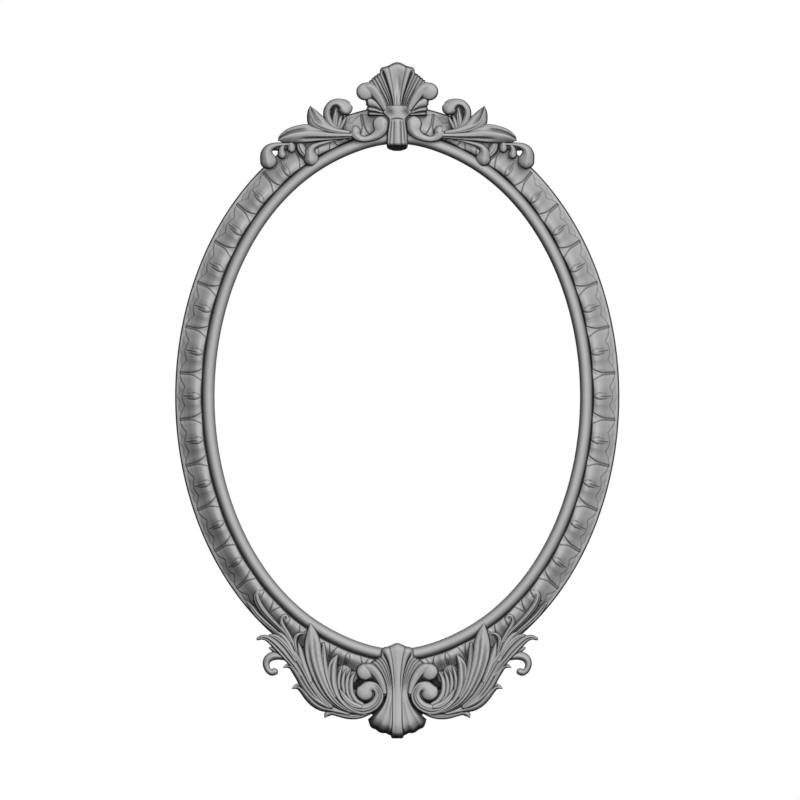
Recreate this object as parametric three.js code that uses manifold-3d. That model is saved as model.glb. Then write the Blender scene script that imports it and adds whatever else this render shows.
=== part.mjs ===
// Carved oval picture frame in painted wood, with a shell crest, a shell foot and scrolled leaves.
// Millimetres, +Z up. The carved face looks along -Y and the wall is on the +Y side.
// The origin is the centre of the oval, in the plane of the frame's back.
import * as THREE from "three";
import { mergeVertices } from "three/addons/utils/BufferGeometryUtils.js";
import Module from "manifold-3d";

const wasm = await Module();
wasm.setup();

// Oval opening and the moulding round it
const SIGHT_HALF_WIDTH = 246.2;
const SIGHT_HALF_HEIGHT = 336.1;
const RAIL_WIDTH_AT_SIDE = 53.3;
const RAIL_WIDTH_AT_TOP = 51.5;
const OVAL_STEP = 6; // degrees between two sections of the moulding
const MOULDING_PEAK = 4.4; // how far the moulding rises past the oval at its top and foot
const PEAK_SPREAD = 13; // degrees either side over which that rise fades

// Section of the moulding: widths run outwards from the opening, heights forward from the back
const REBATE_WIDTH = 8;
const REBATE_DEPTH = 14;
const LIP_THICKNESS = 5;
const BEAD_WIDTH = 17;
const BEAD_HEIGHT = 11.7;
const BEAD_FACETS = 5;
const GROOVE_WIDTH = 2;
const PANEL_START_HEIGHT = 24; // the leaf panel beside the bead's groove
const PANEL_CREST_OUT = 24;
const PANEL_CREST_HEIGHT = 26;
const SLOPE_OUT = 28; // where the panel starts to slope down to the outer band
const SLOPE_HEIGHT = 24.5;
const EDGE_BAND_WIDTH = 7.3;
const EDGE_BAND_HEIGHT = 10.5;
const EDGE_WALL_HEIGHT = 6;

// Joints between the rails and stiles, as an angle round the oval from its widest point
const JOINT_ANGLE = 60;
const SPLINE_LENGTH = 36;
const SPLINE_WIDTH = 20;
const SPLINE_THICKNESS = 4;
const SPLINE_HEIGHT = 5; // from the frame's back to the slot's rear face

// Fits
const SEAT_GAP = 0.3; // glued and seated faces
const BORE_GAP = 0.3; // round a screw, all the way round
const TURNING_GAP = 0.3; // under and over a piece that turns

// Ornament: leaves are drawn in units of which the rail at the side is so many wide
const CREST_MIDDLE = 90; // angles round the oval
const FOOT_MIDDLE = 270;
const CREST_SPAN = 48; // degrees either side of the middle that the carving covers
const FOOT_SPAN = 48;
const UNITS_ACROSS_RAIL = 53.3;
const ORNAMENT_BACK = 7; // from the frame's back to the back of the carved pieces
const LEAF_ROUNDING = 8; // how far a leaf's edge lies behind its crest, at most
const THINNEST_TIP = 0.6; // half width
const TIGHTEST_INSIDE = 0.85; // share of a bend's radius that a leaf may fill
const STEP_BEND = 0.6; // radians of a spine's bend to a step
const STEPS_PER_POINT = 0.65;
const POINTED_BELOW = 2; // half width of a leaf's start under which it ends in a plain point

// Turn buttons that hold a pane and a backing in the rebate
const BUTTON_ANGLES = [50, 130, 220, 320];
const BUTTON_PIVOT_OUT = 23; // outwards from the opening's edge
const BUTTON_REACH = 21;
const BUTTON_TAIL = 9;
const BUTTON_WIDTH = 12;
const BUTTON_THICKNESS = 2;

// Screws
const SCREW_RADIUS = 1.6;
const SCREW_HEAD_RADIUS = 3.6;
const SCREW_HEAD_HEIGHT = 1.6;
const SCREW_LENGTH = 12; // below the head
const SLOT_WIDTH = 0.8;
const SLOT_DEPTH = 0.7;
const FIXING_HEAD_RADIUS = 4.5;
const FIXING_HEAD_HEIGHT = 2.5;
const FIXING_RECESS = 3.5; // how deep the head's hole goes in from the back
const FIXING_BITE = 10; // length in the carved piece, past the moulding's face

// Hangers
const HANGER_ANGLE = 26;
const HANGER_OUT = 30;
const STRAP_WIDTH = 14;
const STRAP_LENGTH = 40; // from the ring's axis to the lower end
const STRAP_THICKNESS = 1.5;
const STRAP_HOLES = [9.5, 30]; // below the ring's axis
const EYE_WALL = 1.2;
const RING_WIRE = 1.25; // radius
const RING_HALF_WIDTH = 13;
const RING_DROP = 22;

// Pads that keep the foot of the frame off the wall
const BUMPER_RADIUS = 6;
const BUMPER_THICKNESS = 6.5;
const BUMPER_ANGLES = [254, 286];
const BUMPER_OUT = 30;

// Facets round screws and eyes, and round a carved leaf
const SMALL_SIDES = 8;
const LEAF_SIDES = 6;

const paint = { color: 0xb4b4b4, roughness: 0.42, metalness: 0 };
const beechWood = { color: 0xb08a5c, roughness: 0.7, metalness: 0 };
const zincSteel = { color: 0xa9adb0, roughness: 0.35, metalness: 1 };
const blackFelt = { color: 0x2a2a2a, roughness: 0.95, metalness: 0 };

const degrees = THREE.MathUtils.degToRad;
const carvingUnit = RAIL_WIDTH_AT_SIDE / UNITS_ACROSS_RAIL;
const railTaper = RAIL_WIDTH_AT_TOP / RAIL_WIDTH_AT_SIDE;
const lipFront = REBATE_DEPTH + LIP_THICKNESS;

// A place on the frame: outwards from the opening's edge, at an angle, in front of the back
function place(out, angle, front) {
  const turn = degrees(angle);
  return new THREE.Vector3(
    (SIGHT_HALF_WIDTH + out) * Math.cos(turn),
    -front,
    (SIGHT_HALF_HEIGHT + out * railTaper) * Math.sin(turn),
  );
}

// A place on the moulding, which is drawn out a little at the top and the foot
function mouldingPlace(out, angle, front) {
  const fromPeak = Math.abs(((angle + 360) % 180) - 90);
  const rise = MOULDING_PEAK * Math.exp(-((fromPeak / PEAK_SPREAD) ** 2));
  return place(out + rise, angle, front);
}

function toSolid(geometry) {
  const bare = geometry.clone();
  bare.deleteAttribute("normal");
  bare.deleteAttribute("uv");
  const merged = mergeVertices(bare, 1e-4);
  return new wasm.Manifold(
    new wasm.Mesh({
      numProp: 3,
      vertProperties: new Float32Array(merged.attributes.position.array),
      triVerts: new Uint32Array(merged.index.array),
    }),
  );
}

function toGeometry(solid) {
  const mesh = solid.getMesh();
  const geometry = new THREE.BufferGeometry();
  geometry.setAttribute("position", new THREE.BufferAttribute(mesh.vertProperties, 3));
  geometry.setIndex(new THREE.BufferAttribute(mesh.triVerts, 1));
  geometry.computeVertexNormals();
  return geometry;
}

function join(solids) {
  return solids.reduce((whole, solid) => whole.add(solid));
}

// The largest body of a cut solid: shavings that a cut leaves behind are dropped
function mainBody(solid) {
  const bodies = solid.decompose();
  return bodies.reduce((best, body) => (body.volume() > best.volume() ? body : best));
}

// Moulding: a section of [out, front] points carried round the oval between two angles
function sweepOval(section, from, to) {
  const shape = new THREE.Shape(section.map(([out, front]) => new THREE.Vector2(out, front)));
  const steps = Math.max(1, Math.round((to - from) / OVAL_STEP));
  const geometry = new THREE.ExtrudeGeometry(shape, { depth: 1, steps, bevelEnabled: false });
  const position = geometry.attributes.position;
  for (let i = 0; i < position.count; i++) {
    const angle = to - (to - from) * position.getZ(i);
    const point = mouldingPlace(position.getX(i), angle, position.getY(i));
    position.setXYZ(i, point.x, point.y, point.z);
  }
  return toSolid(geometry);
}

const panelStart = BEAD_WIDTH + GROOVE_WIDTH;
const bandStart = RAIL_WIDTH_AT_SIDE - EDGE_BAND_WIDTH;

function railSection() {
  return [
    [REBATE_WIDTH, 0],
    [RAIL_WIDTH_AT_SIDE, 0],
    [RAIL_WIDTH_AT_SIDE, EDGE_WALL_HEIGHT],
    [bandStart, EDGE_BAND_HEIGHT],
    [SLOPE_OUT, SLOPE_HEIGHT],
    [PANEL_CREST_OUT, PANEL_CREST_HEIGHT],
    [panelStart, PANEL_START_HEIGHT],
    [panelStart - GROOVE_WIDTH / 2, lipFront],
    [0, lipFront],
    [0, REBATE_DEPTH],
    [REBATE_WIDTH, REBATE_DEPTH],
  ];
}

// The half round bead, from the opening's edge outwards; grow thickens it all round
function beadArc(grow) {
  const middle = BEAD_WIDTH / 2;
  const foot = lipFront + SEAT_GAP;
  const arc = [];
  for (let i = 0; i <= BEAD_FACETS; i++) {
    const turn = (Math.PI * i) / BEAD_FACETS;
    arc.push([
      middle + (middle + grow) * Math.cos(turn),
      foot + (BEAD_HEIGHT + grow) * Math.sin(turn),
    ]);
  }
  return arc;
}

// The room that the moulding and its bead take, with the seat's clearance, for cutting ornament
function mouldingRoom(from, to) {
  const behind = -5;
  return sweepOval(
    [
      [-SEAT_GAP, behind],
      [RAIL_WIDTH_AT_SIDE + SEAT_GAP, behind],
      [RAIL_WIDTH_AT_SIDE + SEAT_GAP, EDGE_WALL_HEIGHT + SEAT_GAP],
      [bandStart, EDGE_BAND_HEIGHT + SEAT_GAP],
      [SLOPE_OUT, SLOPE_HEIGHT + SEAT_GAP],
      [PANEL_CREST_OUT, PANEL_CREST_HEIGHT + SEAT_GAP],
      [panelStart, PANEL_START_HEIGHT + SEAT_GAP],
      ...beadArc(SEAT_GAP),
    ],
    from,
    to,
  );
}

// Pieces of the moulding
const jointGapAngle = 0.03; // half the glue line at a joint, in degrees round the oval

function boxAt(width, depth, height, centre, turn = 0) {
  const box = new THREE.BoxGeometry(width, depth, height);
  box.rotateY(turn);
  box.translate(centre.x, centre.y, centre.z);
  return toSolid(box);
}

// Direction of the oval's run at an angle, as a turn about Y of a piece that lies along X
function runTurn(angle) {
  const turn = degrees(angle);
  const middle = RAIL_WIDTH_AT_SIDE / 2;
  const dx = -(SIGHT_HALF_WIDTH + middle) * Math.sin(turn);
  const dz = (SIGHT_HALF_HEIGHT + middle * railTaper) * Math.cos(turn);
  return -Math.atan2(dz, dx);
}

function splineSolid(angle, grow) {
  const out = (REBATE_WIDTH + RAIL_WIDTH_AT_SIDE) / 2;
  const centre = place(out, angle, SPLINE_HEIGHT + SPLINE_THICKNESS / 2);
  return boxAt(
    SPLINE_LENGTH + 2 * grow,
    SPLINE_THICKNESS + 2 * grow,
    SPLINE_WIDTH + 2 * grow,
    centre,
    runTurn(angle),
  );
}

// A round bar along Y, from one distance in front of the back to another
function bar(radius, centre, rear, front, sides = SMALL_SIDES) {
  const geometry = new THREE.CylinderGeometry(radius, radius, front - rear, sides);
  geometry.translate(centre.x, -(rear + front) / 2, centre.z);
  return toSolid(geometry);
}

const boreRadius = SCREW_RADIUS + BORE_GAP;
const BORE_SPARE = 1; // depth past a screw's end

const jointAngles = {
  top_right: JOINT_ANGLE,
  top_left: 180 - JOINT_ANGLE,
  bottom_left: 180 + JOINT_ANGLE,
  bottom_right: 360 - JOINT_ANGLE,
};

// Where screws go in from the back: [centre, depth of the shank's bore]
const buttonCentres = BUTTON_ANGLES.map((angle) => place(BUTTON_PIVOT_OUT, angle, 0));
const buttonPlate = TURNING_GAP + BUTTON_THICKNESS + TURNING_GAP;
const strapRear = SEAT_GAP + STRAP_THICKNESS;
const ringAxisBack = strapRear + SEAT_GAP + RING_WIRE;
const hangerCentres = [180 - HANGER_ANGLE, HANGER_ANGLE].map((angle) => place(HANGER_OUT, angle, 0));
const strapScrewCentres = hangerCentres.flatMap((centre) =>
  STRAP_HOLES.map((drop) => new THREE.Vector3(centre.x, 0, centre.z - drop)),
);
const strapPlate = strapRear + SEAT_GAP;

function screwBores() {
  const buttonDepth = SCREW_LENGTH - buttonPlate + BORE_SPARE;
  const strapDepth = SCREW_LENGTH - strapPlate + BORE_SPARE;
  return [
    ...buttonCentres.map((centre) => bar(boreRadius, centre, -1, buttonDepth)),
    ...strapScrewCentres.map((centre) => bar(boreRadius, centre, -1, strapDepth)),
  ];
}

// Screws that hold the carved pieces from behind: [name, angle, out]
const LEAF_SCREW_TURN = 24; // degrees either side of the foot's middle
const FIXING_SCREWS = [
  ["crest_fixing_screw", CREST_MIDDLE, 40],
  ["base_fixing_screw", FOOT_MIDDLE, 31],
  ["leaf_fixing_screw_left", FOOT_MIDDLE - LEAF_SCREW_TURN, 29],
  ["leaf_fixing_screw_right", FOOT_MIDDLE + LEAF_SCREW_TURN, 29],
].map(([name, angle, out]) => [name, angle, out * carvingUnit]);

// Front of the bare moulding at a distance out, on the panel's slope
function slopeFront(out) {
  const share = (out - SLOPE_OUT) / (bandStart - SLOPE_OUT);
  return SLOPE_HEIGHT + (EDGE_BAND_HEIGHT - SLOPE_HEIGHT) * share;
}

function fixingEnd(out) {
  return slopeFront(out) + FIXING_BITE;
}

function fixingBore(angle, out) {
  const centre = place(out, angle, 0);
  const recess = bar(FIXING_HEAD_RADIUS + BORE_GAP, centre, -1, FIXING_RECESS);
  return recess.add(bar(boreRadius, centre, -1, fixingEnd(out) + BORE_SPARE));
}

const fixingBores = FIXING_SCREWS.map(([, angle, out]) => fixingBore(angle, out));
const allBores = join([...screwBores(), ...fixingBores]);
const allSlots = join(Object.values(jointAngles).map((angle) => splineSolid(angle, SEAT_GAP)));

function carcassPiece(from, to) {
  const blank = sweepOval(railSection(), from + jointGapAngle, to - jointGapAngle);
  return mainBody(blank.subtract(allSlots).subtract(allBores));
}

function beadPiece(from, to) {
  return sweepOval(beadArc(0), from + jointGapAngle, to - jointGapAngle);
}

// Carved leaf: a rounded strip along a spine of [angle, out, half width, crest] points.
// The angle runs from the middle of the crest or of the foot, towards the left.
// The crest is how far the leaf's middle stands in front of the frame's back.
function leaf(points, middle, grow = 0) {
  const flip = new THREE.Vector3(1, 1, middle === "crest" ? 1 : -1);
  const spine = new THREE.CatmullRomCurve3(
    points.map(([angle, out]) => place(out * carvingUnit, CREST_MIDDLE + angle, 0).multiply(flip)),
  );
  const sizes = points.map(([, , halfWidth, crest]) => new THREE.Vector3(halfWidth, crest, 0));
  const size = new THREE.CatmullRomCurve3(
    sizes.map((pair) => pair.multiplyScalar(carvingUnit)),
    false,
    "catmullrom",
  );
  const pointed = points[0][2] < POINTED_BELOW;
  const endSteps = pointed ? 1 : 2;
  const steps = leafSteps(spine, points.length);
  const geometry = new THREE.CapsuleGeometry(1, 1, endSteps, LEAF_SIDES, steps);
  const widestCorner = Math.sin((2 * Math.PI) / LEAF_SIDES);
  const position = geometry.attributes.position;
  for (let i = 0; i < position.count; i++) {
    const along = THREE.MathUtils.clamp(position.getY(i) + 0.5, 0, 1);
    const beyond = position.getY(i) + 0.5 - along;
    const side = position.getX(i) / widestCorner;
    const point = leafPoint(spine, size, along, beyond, side, position.getZ(i), grow);
    position.setXYZ(i, point.x, point.y, point.z);
  }
  return toSolid(geometry);
}

// A spine is cut into more steps the more it bends, and the more points it has
function leafSteps(spine, pointCount) {
  const samples = 24;
  let bend = 0;
  for (let i = 0; i < samples; i++) {
    bend += spine.getTangent(i / samples).angleTo(spine.getTangent((i + 1) / samples));
  }
  return Math.ceil(Math.max((pointCount - 1) * STEPS_PER_POINT, 1 + bend / STEP_BEND));
}

function leafPoint(spine, size, along, beyond, side, rise, grow) {
  const centre = spine.getPoint(along);
  const tangent = spine.getTangent(along);
  const across = new THREE.Vector3(tangent.z, 0, -tangent.x);
  const { x: width, y: height } = size.getPoint(along);
  const halfWidth = Math.max(width, THINNEST_TIP) + grow;
  const inside = insideRadius(spine, along, Math.sign(side)) + grow;
  const reach = Math.min(Math.abs(side) * halfWidth, inside) * Math.sign(side);
  const crest = height + grow;
  const edge = height - Math.min(halfWidth - grow, LEAF_ROUNDING);
  const back = ORNAMENT_BACK - grow;
  const front = rise >= 0 ? edge + (crest - edge) * rise : edge + (back - edge) * Math.min(1, -2 * rise);
  return centre
    .addScaledVector(across, reach)
    .addScaledVector(tangent, beyond * halfWidth)
    .setY(-front);
}

// How far a leaf may reach on the inside of its spine's bend before its sections would cross
function insideRadius(spine, along, side) {
  const step = 0.02;
  const before = Math.max(0, along - step);
  const after = Math.min(1, along + step);
  const t0 = spine.getTangent(before);
  const t1 = spine.getTangent(after);
  const bend = Math.atan2(t0.x * t1.z - t0.z * t1.x, t0.dot(t1));
  const run = spine.getPoint(before).distanceTo(spine.getPoint(after));
  const radius = run / Math.max(Math.abs(bend), 1e-6);
  return Math.sign(bend) === -side ? radius * TIGHTEST_INSIDE : Infinity;
}

// Spines of the crest's carving
const crestLeaves = {
  clasp: [[[0, 51, 8.8, 44], [0, 45, 17.5, 43], [0, 39, 13.5, 41], [0, 34, 10.1, 40],
    [0, 22, 13.5, 43], [0, 6, 12.1, 42]]],
  shell: [
    [[0, 106, 12.1, 40], [0, 80, 8, 40], [0, 48, 6, 38]],
    [[2.6, 105, 7.8, 39], [1.6, 82, 6.4, 39], [0.6, 56, 4.4, 37]],
    [[4.1, 97, 6.6, 38], [2.6, 76, 5.8, 38], [1.2, 56, 4, 36]],
    [[5.4, 89, 6.4, 37], [3.4, 72, 5.8, 37], [2, 56, 4.2, 36]],
    [[7.8, 81, 11.4, 42], [6.6, 85, 9.8, 41], [5.2, 79, 7.6, 39], [4.2, 68, 6.6, 38], [2.4, 48, 5, 37]],
    [[6.9, 67, 5, 33], [5.4, 59, 5.8, 34], [3.1, 48, 4.6, 36]],
    [[7.2, 53, 5.6, 31], [5.9, 51, 6, 32], [3.1, 47, 5, 34]],
  ],
  scroll: [[[4.2, 35, 10.3, 44], [4.7, 25, 8.7, 43], [6.3, 18, 6, 41], [8.5, 15, 4.7, 40],
    [10.6, 16, 4.1, 39.5], [12.1, 22, 4.2, 39.5], [12.6, 29, 4.5, 40], [11.9, 33, 4.7, 40.5]]],
  leaf: [
    [[30.7, 66, 0.6, 33], [29.6, 65, 4.6, 35], [28.4, 63, 8.5, 37], [26.1, 58, 11.3, 38],
      [24, 52, 11.6, 38], [19.6, 37, 7.7, 38], [13.7, 26, 5.9, 38], [11.8, 23, 5.2, 38]],
    [[20.7, 85, 1, 34], [20.9, 77, 6, 35], [20.8, 66, 10.8, 36], [19.3, 55, 9.4, 37],
      [17.7, 46, 6.8, 38], [13.4, 31, 3.9, 38]],
  ],
  curl: [
    [[12.8, 63, 8.8, 39], [13.3, 70, 6.7, 38], [14.5, 76, 5.2, 37], [15.8, 76, 4.9, 36],
      [17.1, 70, 4.6, 35], [17.9, 61, 3.7, 34], [17.6, 51, 2.6, 33], [14.3, 34, 1.3, 31]],
    [[15.8, 40, 1.3, 31], [15.7, 51, 4.6, 33], [15.4, 62, 5.4, 34]],
  ],
  tail: [
    [[35.2, 51, 9.4, 34], [35.1, 59, 9, 34], [34.3, 65, 7.5, 33], [33.1, 66, 5.9, 32],
      [31.9, 64, 4.6, 31], [30.5, 59, 3.5, 30], [27.6, 49, 1.8, 30]],
    [[31.8, 47, 5.2, 30], [31, 52, 3.6, 30], [29.5, 55, 2.1, 30]],
    [[29.1, 46, 5.2, 31], [28.7, 49, 4.6, 31], [28.2, 51, 3.4, 30]],
  ],
  under: [
    [[25.7, 19, 9.7, 36], [25.5, 27, 7.7, 35], [24.3, 32, 4.9, 34], [22.8, 32, 3.2, 33],
      [20.9, 30, 2.2, 32], [16.9, 24, 1.3, 32]],
    [[27.4, 29, 1, 27], [27.4, 36, 5, 29], [26.2, 40, 7.2, 30], [23.4, 36, 6.6, 31]],
    [[25.2, 22, 7, 28], [22.6, 26, 6, 28]],
  ],
};

// Spines of the foot's carving
const footLeaves = {
  shell: [
    [[0, 8, 11.2, 46], [0, 38, 8.4, 45], [0, 72, 5.4, 42], [0, 98, 7.2, 42], [0, 120, 9.2, 43]],
    [[3, 10, 7.3, 45], [1.8, 40, 5.8, 44], [1.4, 70, 4.3, 41], [1.8, 93, 6, 41], [2.4, 117, 7.3, 42]],
    [[4.8, 20, 6.2, 44], [3, 43, 4.9, 43], [2.3, 70, 3.8, 40], [3.2, 92, 5.8, 40], [4.5, 112, 7.2, 41]],
    [[3.1, 68, 5, 39], [3.9, 84, 6.2, 39], [5.4, 102, 7.4, 40]],
    [[8.5, 43, 10.7, 46], [7.6, 37, 8.9, 45], [5.8, 40, 6.7, 43], [4.1, 50, 5.1, 42], [2.6, 71, 2.5, 41]],
  ],
  volute: [
    [[7.4, 67, 9.8, 42], [7.8, 71, 11.4, 42]],
    [[7.2, 66, 17, 24], [7.5, 74, 16, 24]],
    [[6, 65, 1.3, 40], [5.4, 61, 3.1, 41], [4.3, 64, 5.1, 42], [3.9, 72, 6, 42], [4.4, 81, 6.5, 41],
      [5.8, 89, 6.7, 40], [7.6, 93, 6.5, 39], [9.5, 92, 6.5, 38], [11.6, 87, 5.8, 37]],
  ],
  blade: [[[27, 8, 0.6, 38], [25.7, 17, 6.2, 40], [24.2, 30, 11.3, 41], [22.6, 46, 10.8, 41],
    [20.5, 61, 9.9, 40], [18.3, 74, 7.7, 39], [15.8, 85, 5.9, 38], [12.8, 93, 4.3, 37], [9.5, 96, 2.8, 36]]],
  acanthus: [
    [[14.6, 52, 10, 24], [12.6, 62, 15, 24], [10.6, 72, 13, 24], [9.2, 80, 8, 24]],
    [[9.7, 50, 7, 24], [9.4, 60, 8, 24]],
    [[21.5, 23, 0.6, 33], [20.7, 34, 3.1, 35], [19.3, 48, 4, 36], [17.4, 62, 4, 36], [15.1, 74, 3.7, 36],
      [12.4, 84, 4.6, 36], [9.7, 90, 2.5, 35]],
    [[17, 31, 0.6, 34], [17.3, 42, 5.6, 36], [16.7, 55, 7.1, 38], [15.3, 69, 6.2, 38], [13.3, 80, 4.6, 37],
      [8, 91, 2.8, 36]],
    [[14.1, 43, 0.6, 31], [14.2, 53, 3.3, 33], [13.6, 65, 4, 33], [12, 79, 2.8, 34]],
    [[11.4, 45, 1, 31], [11.4, 56, 4, 33], [10.7, 69, 4, 34], [9.2, 82, 2.6, 35]],
    [[13.5, 74, 0.6, 36], [12.4, 82, 3.7, 38], [10.5, 89, 4.2, 39], [8.3, 92, 3.4, 39]],
  ],
  foliage: [
    [[24.1, 99, 1.2, 30], [23.1, 91, 3, 32], [21.5, 91, 5.3, 33], [19.6, 97, 6.5, 34], [17.5, 102, 5.9, 34],
      [15.3, 103, 4.6, 34], [12.6, 104, 5, 34], [9.8, 103, 4.4, 34], [6.8, 100, 1.9, 34]],
    [[15.4, 117, 1.4, 29], [15, 110, 3.2, 31], [13.5, 107, 2.8, 32], [11.5, 107, 3.1, 33],
      [9.2, 106, 2.8, 33]],
    [[27.7, 80, 1.4, 29], [26.7, 73, 3.2, 31], [25.3, 72, 5.3, 32], [23.7, 79, 6.5, 33], [21.9, 86, 6.2, 34],
      [20.2, 91, 4.3, 34]],
    [[28.3, 53, 4, 32], [26, 59, 7.2, 33], [23.7, 68, 7.8, 34], [21.7, 78, 6.5, 35], [19.2, 88, 5.9, 35],
      [16.2, 96, 4.6, 35], [13, 100, 3.1, 35]],
  ],
  hook: [
    [[36.2, 71, 2, 29], [35.3, 64, 3.4, 31], [33.6, 60, 5.1, 32], [30.9, 59, 5.9, 33], [28.3, 62, 4.3, 33],
      [26.2, 66, 2.5, 33]],
    [[34.2, 55, 0.9, 29], [32.1, 52, 3.4, 30], [29.8, 53, 4, 31], [27.4, 58, 3.1, 32]],
    [[29.3, 92, 5.4, 28], [30, 97, 4.5, 27.5], [30.9, 95, 4.2, 27.5], [31.6, 90, 4.2, 28],
      [31.7, 81, 5.1, 28], [30.5, 72, 5.6, 29], [28.6, 65, 4.6, 29], [26.4, 63, 3.1, 30]],
    [[32.3, 70, 2.4, 27], [30.4, 65, 4, 28], [27.6, 62, 3.4, 30]],
  ],
  tendril: [
    [[42.9, 47, 0.9, 21], [40.7, 49, 3.1, 22], [37.8, 50, 3.4, 24], [35, 49, 2.8, 27], [29.5, 46, 1.9, 29]],
    [[42.1, 22, 0.9, 29], [42.9, 23, 2, 28.5], [43.3, 29, 3.1, 28], [42.2, 36, 3.6, 28], [40, 41, 3.4, 28],
      [37.1, 42, 3.1, 29], [31, 43, 2.6, 30], [28.6, 46, 1.9, 30]],
  ],
};

// A leaf and its mirror image: the two halves of a shell, and the middle rib made even
function leafPair(points, middle, grow) {
  const left = leaf(points, middle, grow);
  return left.add(left.mirror([1, 0, 0]));
}

function carving(spines, middle, { grow = 0, bothSides = false } = {}) {
  return join(spines.map((points) => (bothSides ? leafPair : leaf)(points, middle, grow)));
}

const crestRoom = mouldingRoom(CREST_MIDDLE - CREST_SPAN, CREST_MIDDLE + CREST_SPAN);
const footRoom = mouldingRoom(FOOT_MIDDLE - FOOT_SPAN, FOOT_MIDDLE + FOOT_SPAN);
const fixingHoles = join(fixingBores);

// One carved piece, scribed to the moulding and to the pieces that were carved before it
function carve(leaves, name, middle, neighbours, bothSides = false) {
  const room = middle === "crest" ? crestRoom : footRoom;
  const sharedMiddle = (other) => other === "shell" || other === "clasp";
  let piece = carving(leaves[name], middle, { bothSides });
  for (const other of neighbours) {
    const grown = carving(leaves[other], middle, { grow: SEAT_GAP, bothSides: sharedMiddle(other) });
    piece = piece.subtract(grown);
  }
  return mainBody(piece.subtract(room).subtract(fixingHoles));
}

const crest = {
  clasp: carve(crestLeaves, "clasp", "crest", [], true),
  shell: carve(crestLeaves, "shell", "crest", ["clasp"], true),
  scroll: carve(crestLeaves, "scroll", "crest", ["clasp", "shell"]),
  leaf: carve(crestLeaves, "leaf", "crest", ["scroll"]),
  curl: carve(crestLeaves, "curl", "crest", ["scroll", "leaf"]),
  tail: carve(crestLeaves, "tail", "crest", ["leaf"]),
  under: carve(crestLeaves, "under", "crest", ["scroll", "leaf", "tail"]),
};
const foot = {
  shell: carve(footLeaves, "shell", "foot", [], true),
  volute: carve(footLeaves, "volute", "foot", ["shell"]),
  blade: carve(footLeaves, "blade", "foot", ["shell", "volute"]),
  acanthus: carve(footLeaves, "acanthus", "foot", ["shell", "volute", "blade"]),
  foliage: carve(footLeaves, "foliage", "foot", ["shell", "volute", "blade"]),
  hook: carve(footLeaves, "hook", "foot", ["blade", "foliage"]),
  tendril: carve(footLeaves, "tendril", "foot", ["foliage", "hook"]),
};

// Screw along Y with a slotted head; head and shank share the axis through the origin
function screw(headRadius, headHeight, length) {
  const profile = [
    [0, -length],
    [SCREW_RADIUS, -length + 2 * SCREW_RADIUS],
    [SCREW_RADIUS, 0],
    [headRadius, 0],
    [headRadius, headHeight * 0.4],
    [headRadius * 0.5, headHeight],
    [0, headHeight],
  ].map(([radius, height]) => new THREE.Vector2(radius, height));
  const body = toSolid(new THREE.LatheGeometry(profile, SMALL_SIDES));
  const slotCentre = new THREE.Vector3(0, headHeight - SLOT_DEPTH / 2 + 0.5, 0);
  return body.subtract(boxAt(3 * headRadius, SLOT_DEPTH + 1, SLOT_WIDTH, slotCentre, degrees(35)));
}

function turnButton() {
  const end = BUTTON_WIDTH / 2;
  const outline = new THREE.Shape();
  outline.absarc(BUTTON_REACH - end, 0, end, -Math.PI / 2, Math.PI / 2, false);
  outline.absarc(end - BUTTON_TAIL, 0, end, Math.PI / 2, (3 * Math.PI) / 2, false);
  const bore = new THREE.Path();
  bore.absarc(0, 0, boreRadius, 0, 2 * Math.PI, true);
  outline.holes.push(bore);
  const options = { depth: BUTTON_THICKNESS, bevelEnabled: false, curveSegments: 5 };
  const geometry = new THREE.ExtrudeGeometry(outline, options);
  geometry.rotateX(Math.PI / 2);
  return toSolid(geometry);
}

// Strap with a rolled eye: the ring's axis passes through the origin, along X
const eyeBore = RING_WIRE + TURNING_GAP;

function hangerStrap() {
  const ringAxisToWood = ringAxisBack - SEAT_GAP;
  const plate = boxAt(
    STRAP_WIDTH,
    STRAP_THICKNESS,
    STRAP_LENGTH,
    new THREE.Vector3(0, STRAP_THICKNESS / 2 - ringAxisToWood, -STRAP_LENGTH / 2),
  );
  const eyeRadius = eyeBore + EYE_WALL;
  const eye = toSolid(
    new THREE.CylinderGeometry(eyeRadius, eyeRadius, STRAP_WIDTH, SMALL_SIDES).rotateZ(Math.PI / 2),
  );
  const bore = toSolid(
    new THREE.CylinderGeometry(eyeBore, eyeBore, 2 * STRAP_WIDTH, SMALL_SIDES).rotateZ(Math.PI / 2),
  );
  const holes = STRAP_HOLES.map((drop) =>
    bar(boreRadius, new THREE.Vector3(0, 0, -drop), -10, 10),
  );
  return plate.add(eye).subtract(bore).subtract(join(holes));
}

// D ring that hangs from a straight bar along X through the origin
function hangerRing() {
  const corner = 4;
  const path = new THREE.CurvePath();
  const half = RING_HALF_WIDTH;
  const at = (x, z) => new THREE.Vector3(x, 0, z);
  path.add(new THREE.LineCurve3(at(corner - half, 0), at(half - corner, 0)));
  path.add(new THREE.QuadraticBezierCurve3(at(half - corner, 0), at(half, 0), at(half, -corner)));
  path.add(
    new THREE.CubicBezierCurve3(
      at(half, -corner),
      at(half, -RING_DROP),
      at(-half, -RING_DROP),
      at(-half, -corner),
    ),
  );
  path.add(new THREE.QuadraticBezierCurve3(at(-half, -corner), at(-half, 0), at(corner - half, 0)));
  const geometry = new THREE.TubeGeometry(path, 22, RING_WIRE, 5, true);
  return toSolid(geometry);
}

function bumper() {
  const rounding = 1;
  const profile = [
    [0, 0],
    [BUMPER_RADIUS, 0],
    [BUMPER_RADIUS, BUMPER_THICKNESS - rounding],
    [BUMPER_RADIUS - rounding, BUMPER_THICKNESS],
    [0, BUMPER_THICKNESS],
  ].map(([radius, height]) => new THREE.Vector2(radius, height));
  return toSolid(new THREE.LatheGeometry(profile, 12));
}

// Assembly
const frame = new THREE.Group();

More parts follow.
